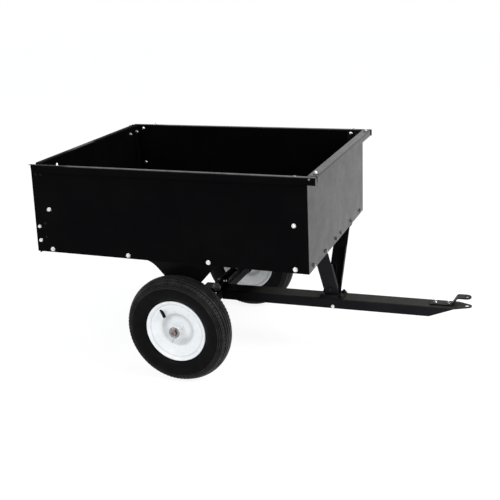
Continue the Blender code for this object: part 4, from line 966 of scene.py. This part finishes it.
def add_front_bolts():
    """Row of heads where the front panel meets the floor."""
    bm = bmesh.new()
    for i, y in enumerate(FRONT_HEADS):
        place = facing((BED_X + FRONT_FACE, y, FRONT_HEADS_HEIGHT), (1, 0, 0), 0.3 + 0.9 * i)
        hex_bolt(bm, place, BOLT_RADIUS, 0.0120, TWO_SHEETS, 0.0044, washer=BOLT_WASHER)
    add_piece("front_bolts", bm, "bed", DARK_ZINC)


def add_hitch_bolts():
    """Two bolts that hold the upper jaw on the tongue."""
    bm = bmesh.new()
    strap_top = TONGUE_TOP + GAP + STRAP_THICK
    grip = STRAP_THICK + GAP + TONGUE_SHEET
    for x in HITCH_BOLTS_AT:
        place = DRAWBAR @ facing((x, 0.0, strap_top), (0, 0, 1), 0.38)
        nut_up_bolt(bm, place, SMALL_RADIUS, 0.0105, grip, 0.0072, 0.0034)
    add_piece("hitch_bolt_set", bm, "drawbar", ZINC,
              ("hitch_bolt_rear", "hitch_bolt_front"))


def add_plate_bolts():
    """Four bolts of the latch plate."""
    bm = bmesh.new()
    plate_top = TONGUE_TOP + GAP + PLATE_THICK
    grip = PLATE_THICK + GAP + TONGUE_SHEET
    for i, x in enumerate(PLATE_BOLTS_AT):
        for j, y in enumerate((-PLATE_BOLT_Y, PLATE_BOLT_Y)):
            place = DRAWBAR @ facing((x, y, plate_top), (0, 0, 1), 0.5 * i + 0.8 * j)
            nut_up_bolt(bm, place, BOLT_RADIUS, BOLT_FLATS, grip)
    solids = []
    for end in ("rear_", "front_"):
        for word in ("right", "left"):
            solids.append("latch_plate_bolt_" + end + word)
    add_piece("latch_plate_bolt_set", bm, "drawbar", BLACK_ZINC, solids)


def add_striker_bolt():
    """Cross bolt that the latch hooks under."""
    bm = bmesh.new()
    place = DRAWBAR @ facing((STRIKER_AT, -TONGUE_FACE, STRIKER_LEVEL), (0, -1, 0), 0.3)
    hex_bolt(bm, place, BOLT_RADIUS, BOLT_FLATS, STRIKER_GRIP, 0.0046, 0.0028)
    add_piece("striker_bolt_set", bm, "drawbar", ZINC, ("striker_bolt",))


def add_pivot_bolt():
    """Latch's pivot bolt, through both legs."""
    low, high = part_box("latch_pivot_bolt")
    x, height = PIVOT_AT
    head_seat = low.y + PIVOT_HEAD
    grip = (high.y - PIVOT_NUT_END) - head_seat
    bm = bmesh.new()
    place = facing((BED_X + x, head_seat, height), (0, -1, 0), 0.2)
    hex_bolt(bm, place, BOLT_RADIUS, BOLT_FLATS, grip, 0.0046, 0.0028)
    add_piece("pivot_bolt_set", bm, "bed", BLACK_ZINC, ("latch_pivot_bolt",))


def add_clamp_bolt():
    """Clamp bolt with a broad domed hexagon head and a nut on the far side."""
    x, z = CLAMP_AT
    spot = DRAWBAR @ Vector((x, 0.0, z))
    bm = bmesh.new()
    place = facing((spot.x, -CHEEK_FACE, spot.z), (0, -1, 0), 0.1)
    hexagon(bm, place, CLAMP_FLATS, 0.0, CLAMP_HEAD, False, True)
    dome(bm, place, 0.0045, 0.0010, CLAMP_HEAD)
    shank_end = -2 * CHEEK_FACE - 0.002
    turned_stack(bm, place, [(CLAMP_RADIUS, shank_end), (CLAMP_RADIUS, 0.001)], 24)
    back = facing((spot.x, CHEEK_FACE, spot.z), (0, 1, 0), 0.3)
    hexagon(bm, back, CLAMP_NUT_FLATS, 0.0, CLAMP_NUT, False, True)
    thread_end(bm, back @ Matrix.Rotation(math.pi, 4, "X"), CLAMP_RADIUS, -0.0089, -0.0050)
    add_piece("clamp_bolt_set", bm, "drawbar", GRAY_ZINC, ("clamp_bolt",))


def add_clamp_screws():
    """Small screws of the two cheeks and the clamp's tube, and rivets on the channel."""
    bm = bmesh.new()
    x, z = CHEEK_SCREW
    seat = DRAWBAR @ Vector((x, 0.0, z))
    for side in (-1, 1):
        dome(bm, facing((seat.x, side * CHEEK_FACE, seat.z), (0, side, 0)), 0.0050, 0.0032)
    x, z = CLAMP_AT
    for y, degrees in TUBE_SCREWS:
        angle = math.radians(degrees)
        away = Vector((math.cos(angle), 0.0, math.sin(angle)))
        base = Vector((x, y, z)) + away * TUBE_FACE
        dome(bm, DRAWBAR @ facing(base, away), 0.0044, 0.0026)
    channel_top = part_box("axle_channel")[1].z - AXLE.z - CHANNEL_TILT
    for x, y in CHANNEL_RIVETS:
        dome(bm, DRAWBAR @ facing((x, y, channel_top), (0, 0, 1)), 0.0034, 0.0020)
    add_piece("cheek_screws", bm, "drawbar", ZINC)


# Scene
AMBIENT = 0.56
FLOOR_SIZE = 30.0
FLOOR_BELOW = 0.0004
FLOOR_GRAY = 0.80
FLOOR_GLOW = 0.88
FLOOR_SHADOW = 0.21


def make_camera():
    """Camera from its place, its two angles and its roll."""
    back = Vector((math.sin(AZIMUTH) * math.cos(ELEVATION),
                   -math.cos(AZIMUTH) * math.cos(ELEVATION), math.sin(ELEVATION)))
    level = Vector((0, 0, 1)).cross(back).normalized()
    upright = back.cross(level)
    right = level * math.cos(ROLL) + upright * math.sin(ROLL)
    up = upright * math.cos(ROLL) - level * math.sin(ROLL)
    data = bpy.data.cameras.new("camera")
    data.lens = LENS_MM
    data.sensor_width = SENSOR_MM
    data.sensor_fit = "HORIZONTAL"
    camera = bpy.data.objects.new("camera", data)
    camera.matrix_world = Matrix((
        (right.x, up.x, back.x, CAMERA_AT[0]),
        (right.y, up.y, back.y, CAMERA_AT[1]),
        (right.z, up.z, back.z, CAMERA_AT[2]),
        (0, 0, 0, 1)))
    bpy.context.scene.collection.objects.link(camera)
    bpy.context.scene.camera = camera


def seen_directly(tree):
    """1 for rays from the camera or off gloss and glass, else 0."""
    path = tree.nodes.new("ShaderNodeLightPath")
    value = path.outputs["Is Camera Ray"]
    for name in ("Is Glossy Ray", "Is Transmission Ray"):
        node = tree.nodes.new("ShaderNodeMath")
        node.operation = "MAXIMUM"
        tree.links.new(value, node.inputs[0])
        tree.links.new(path.outputs[name], node.inputs[1])
        value = node.outputs["Value"]
    return value


def make_world():
    """White where it is seen, dimmer where it lights the cart."""
    world = bpy.data.worlds.new("studio")
    bpy.context.scene.world = world
    world.use_nodes = True
    tree = world.node_tree
    tree.nodes.clear()
    mix = tree.nodes.new("ShaderNodeMixShader")
    dim = tree.nodes.new("ShaderNodeBackground")
    dim.inputs["Color"].default_value = (0.96, 0.98, 1.0, 1.0)
    dim.inputs["Strength"].default_value = AMBIENT
    white = tree.nodes.new("ShaderNodeBackground")
    white.inputs["Color"].default_value = (1.0, 1.0, 1.0, 1.0)
    white.inputs["Strength"].default_value = 1.0
    output = tree.nodes.new("ShaderNodeOutputWorld")
    tree.links.new(seen_directly(tree), mix.inputs["Fac"])
    tree.links.new(dim.outputs["Background"], mix.inputs[1])
    tree.links.new(white.outputs["Background"], mix.inputs[2])
    tree.links.new(mix.outputs["Shader"], output.inputs["Surface"])


def make_floor():
    """Pale floor that keeps the cart's shadow and looks white from the camera."""
    material = bpy.data.materials.new("floor_white")
    material.use_nodes = True
    tree = material.node_tree
    tree.nodes.clear()
    matte = tree.nodes.new("ShaderNodeBsdfDiffuse")
    matte.inputs["Color"].default_value = (FLOOR_GRAY, FLOOR_GRAY, FLOOR_GRAY, 1.0)
    glow = tree.nodes.new("ShaderNodeEmission")
    glow.inputs["Color"].default_value = (1.0, 1.0, 1.0, 1.0)
    glow.inputs["Strength"].default_value = FLOOR_GLOW
    both = tree.nodes.new("ShaderNodeAddShader")
    thin = tree.nodes.new("ShaderNodeBsdfDiffuse")
    thin.inputs["Color"].default_value = (FLOOR_SHADOW, FLOOR_SHADOW, FLOOR_SHADOW, 1.0)
    mix = tree.nodes.new("ShaderNodeMixShader")
    output = tree.nodes.new("ShaderNodeOutputMaterial")
    tree.links.new(glow.outputs["Emission"], both.inputs[0])
    tree.links.new(thin.outputs["BSDF"], both.inputs[1])
    tree.links.new(seen_directly(tree), mix.inputs["Fac"])
    tree.links.new(matte.outputs["BSDF"], mix.inputs[1])
    tree.links.new(both.outputs["Shader"], mix.inputs[2])
    tree.links.new(mix.outputs["Shader"], output.inputs["Surface"])
    bm = bmesh.new()
    bmesh.ops.create_grid(bm, x_segments=8, y_segments=8, size=FLOOR_SIZE / 2)
    data = bpy.data.meshes.new("floor")
    bm.to_mesh(data)
    bm.free()
    floor = bpy.data.objects.new("floor", data)
    floor.location = (0.0, 0.0, -FLOOR_BELOW)
    floor.data.materials.append(material)
    bpy.context.scene.collection.objects.link(floor)


def area_lamp(name, place, target, size, power):
    data = bpy.data.lights.new(name, "AREA")
    data.shape = "RECTANGLE"
    data.size, data.size_y = size
    data.energy = power
    lamp = bpy.data.objects.new(name, data)
    lamp.location = place
    aim = Vector(target) - Vector(place)
    lamp.rotation_euler = aim.to_track_quat("-Z", "Y").to_euler()
    bpy.context.scene.collection.objects.link(lamp)


def make_lights():
    make_world()
    area_lamp("key", (-1.0, -3.3, 2.5), (-0.1, 0.0, 0.3), (2.2, 1.8), 46.0)
    area_lamp("edge", (3.1, -0.4, 2.4), (0.0, 0.0, 0.3), (1.6, 1.6), 120.0)
    area_lamp("low", (0.8, -3.4, 0.5), (0.2, 0.0, 0.25), (1.6, 0.7), 5.0)


make_camera()
make_lights()
make_floor()
dress_nodes()
for side_sign, side_word in SIDES:
    wheel_center = make_tyre(side_sign, side_word)
    make_rim(wheel_center, side_sign, side_word)
    make_hub(wheel_center, side_sign, side_word)
    make_washers(side_word)
    make_cotter(side_sign, side_word)
    make_valve(wheel_center, side_sign, side_word)
for side_sign, side_word in SIDES:
    add_side_bolts(side_sign, side_word)
    add_side_nuts(side_sign, side_word)
    add_side_rivets(side_sign, side_word)
    add_rail_domes(side_sign, side_word)
    add_corner(side_sign, side_word)
add_tailgate_bolts()
add_floor_bolts()
add_front_bolts()
add_hitch_bolts()
add_plate_bolts()
add_striker_bolt()
add_pivot_bolt()
add_clamp_bolt()
add_clamp_screws()

view = bpy.context.scene.view_settings
view.view_transform = "Standard"
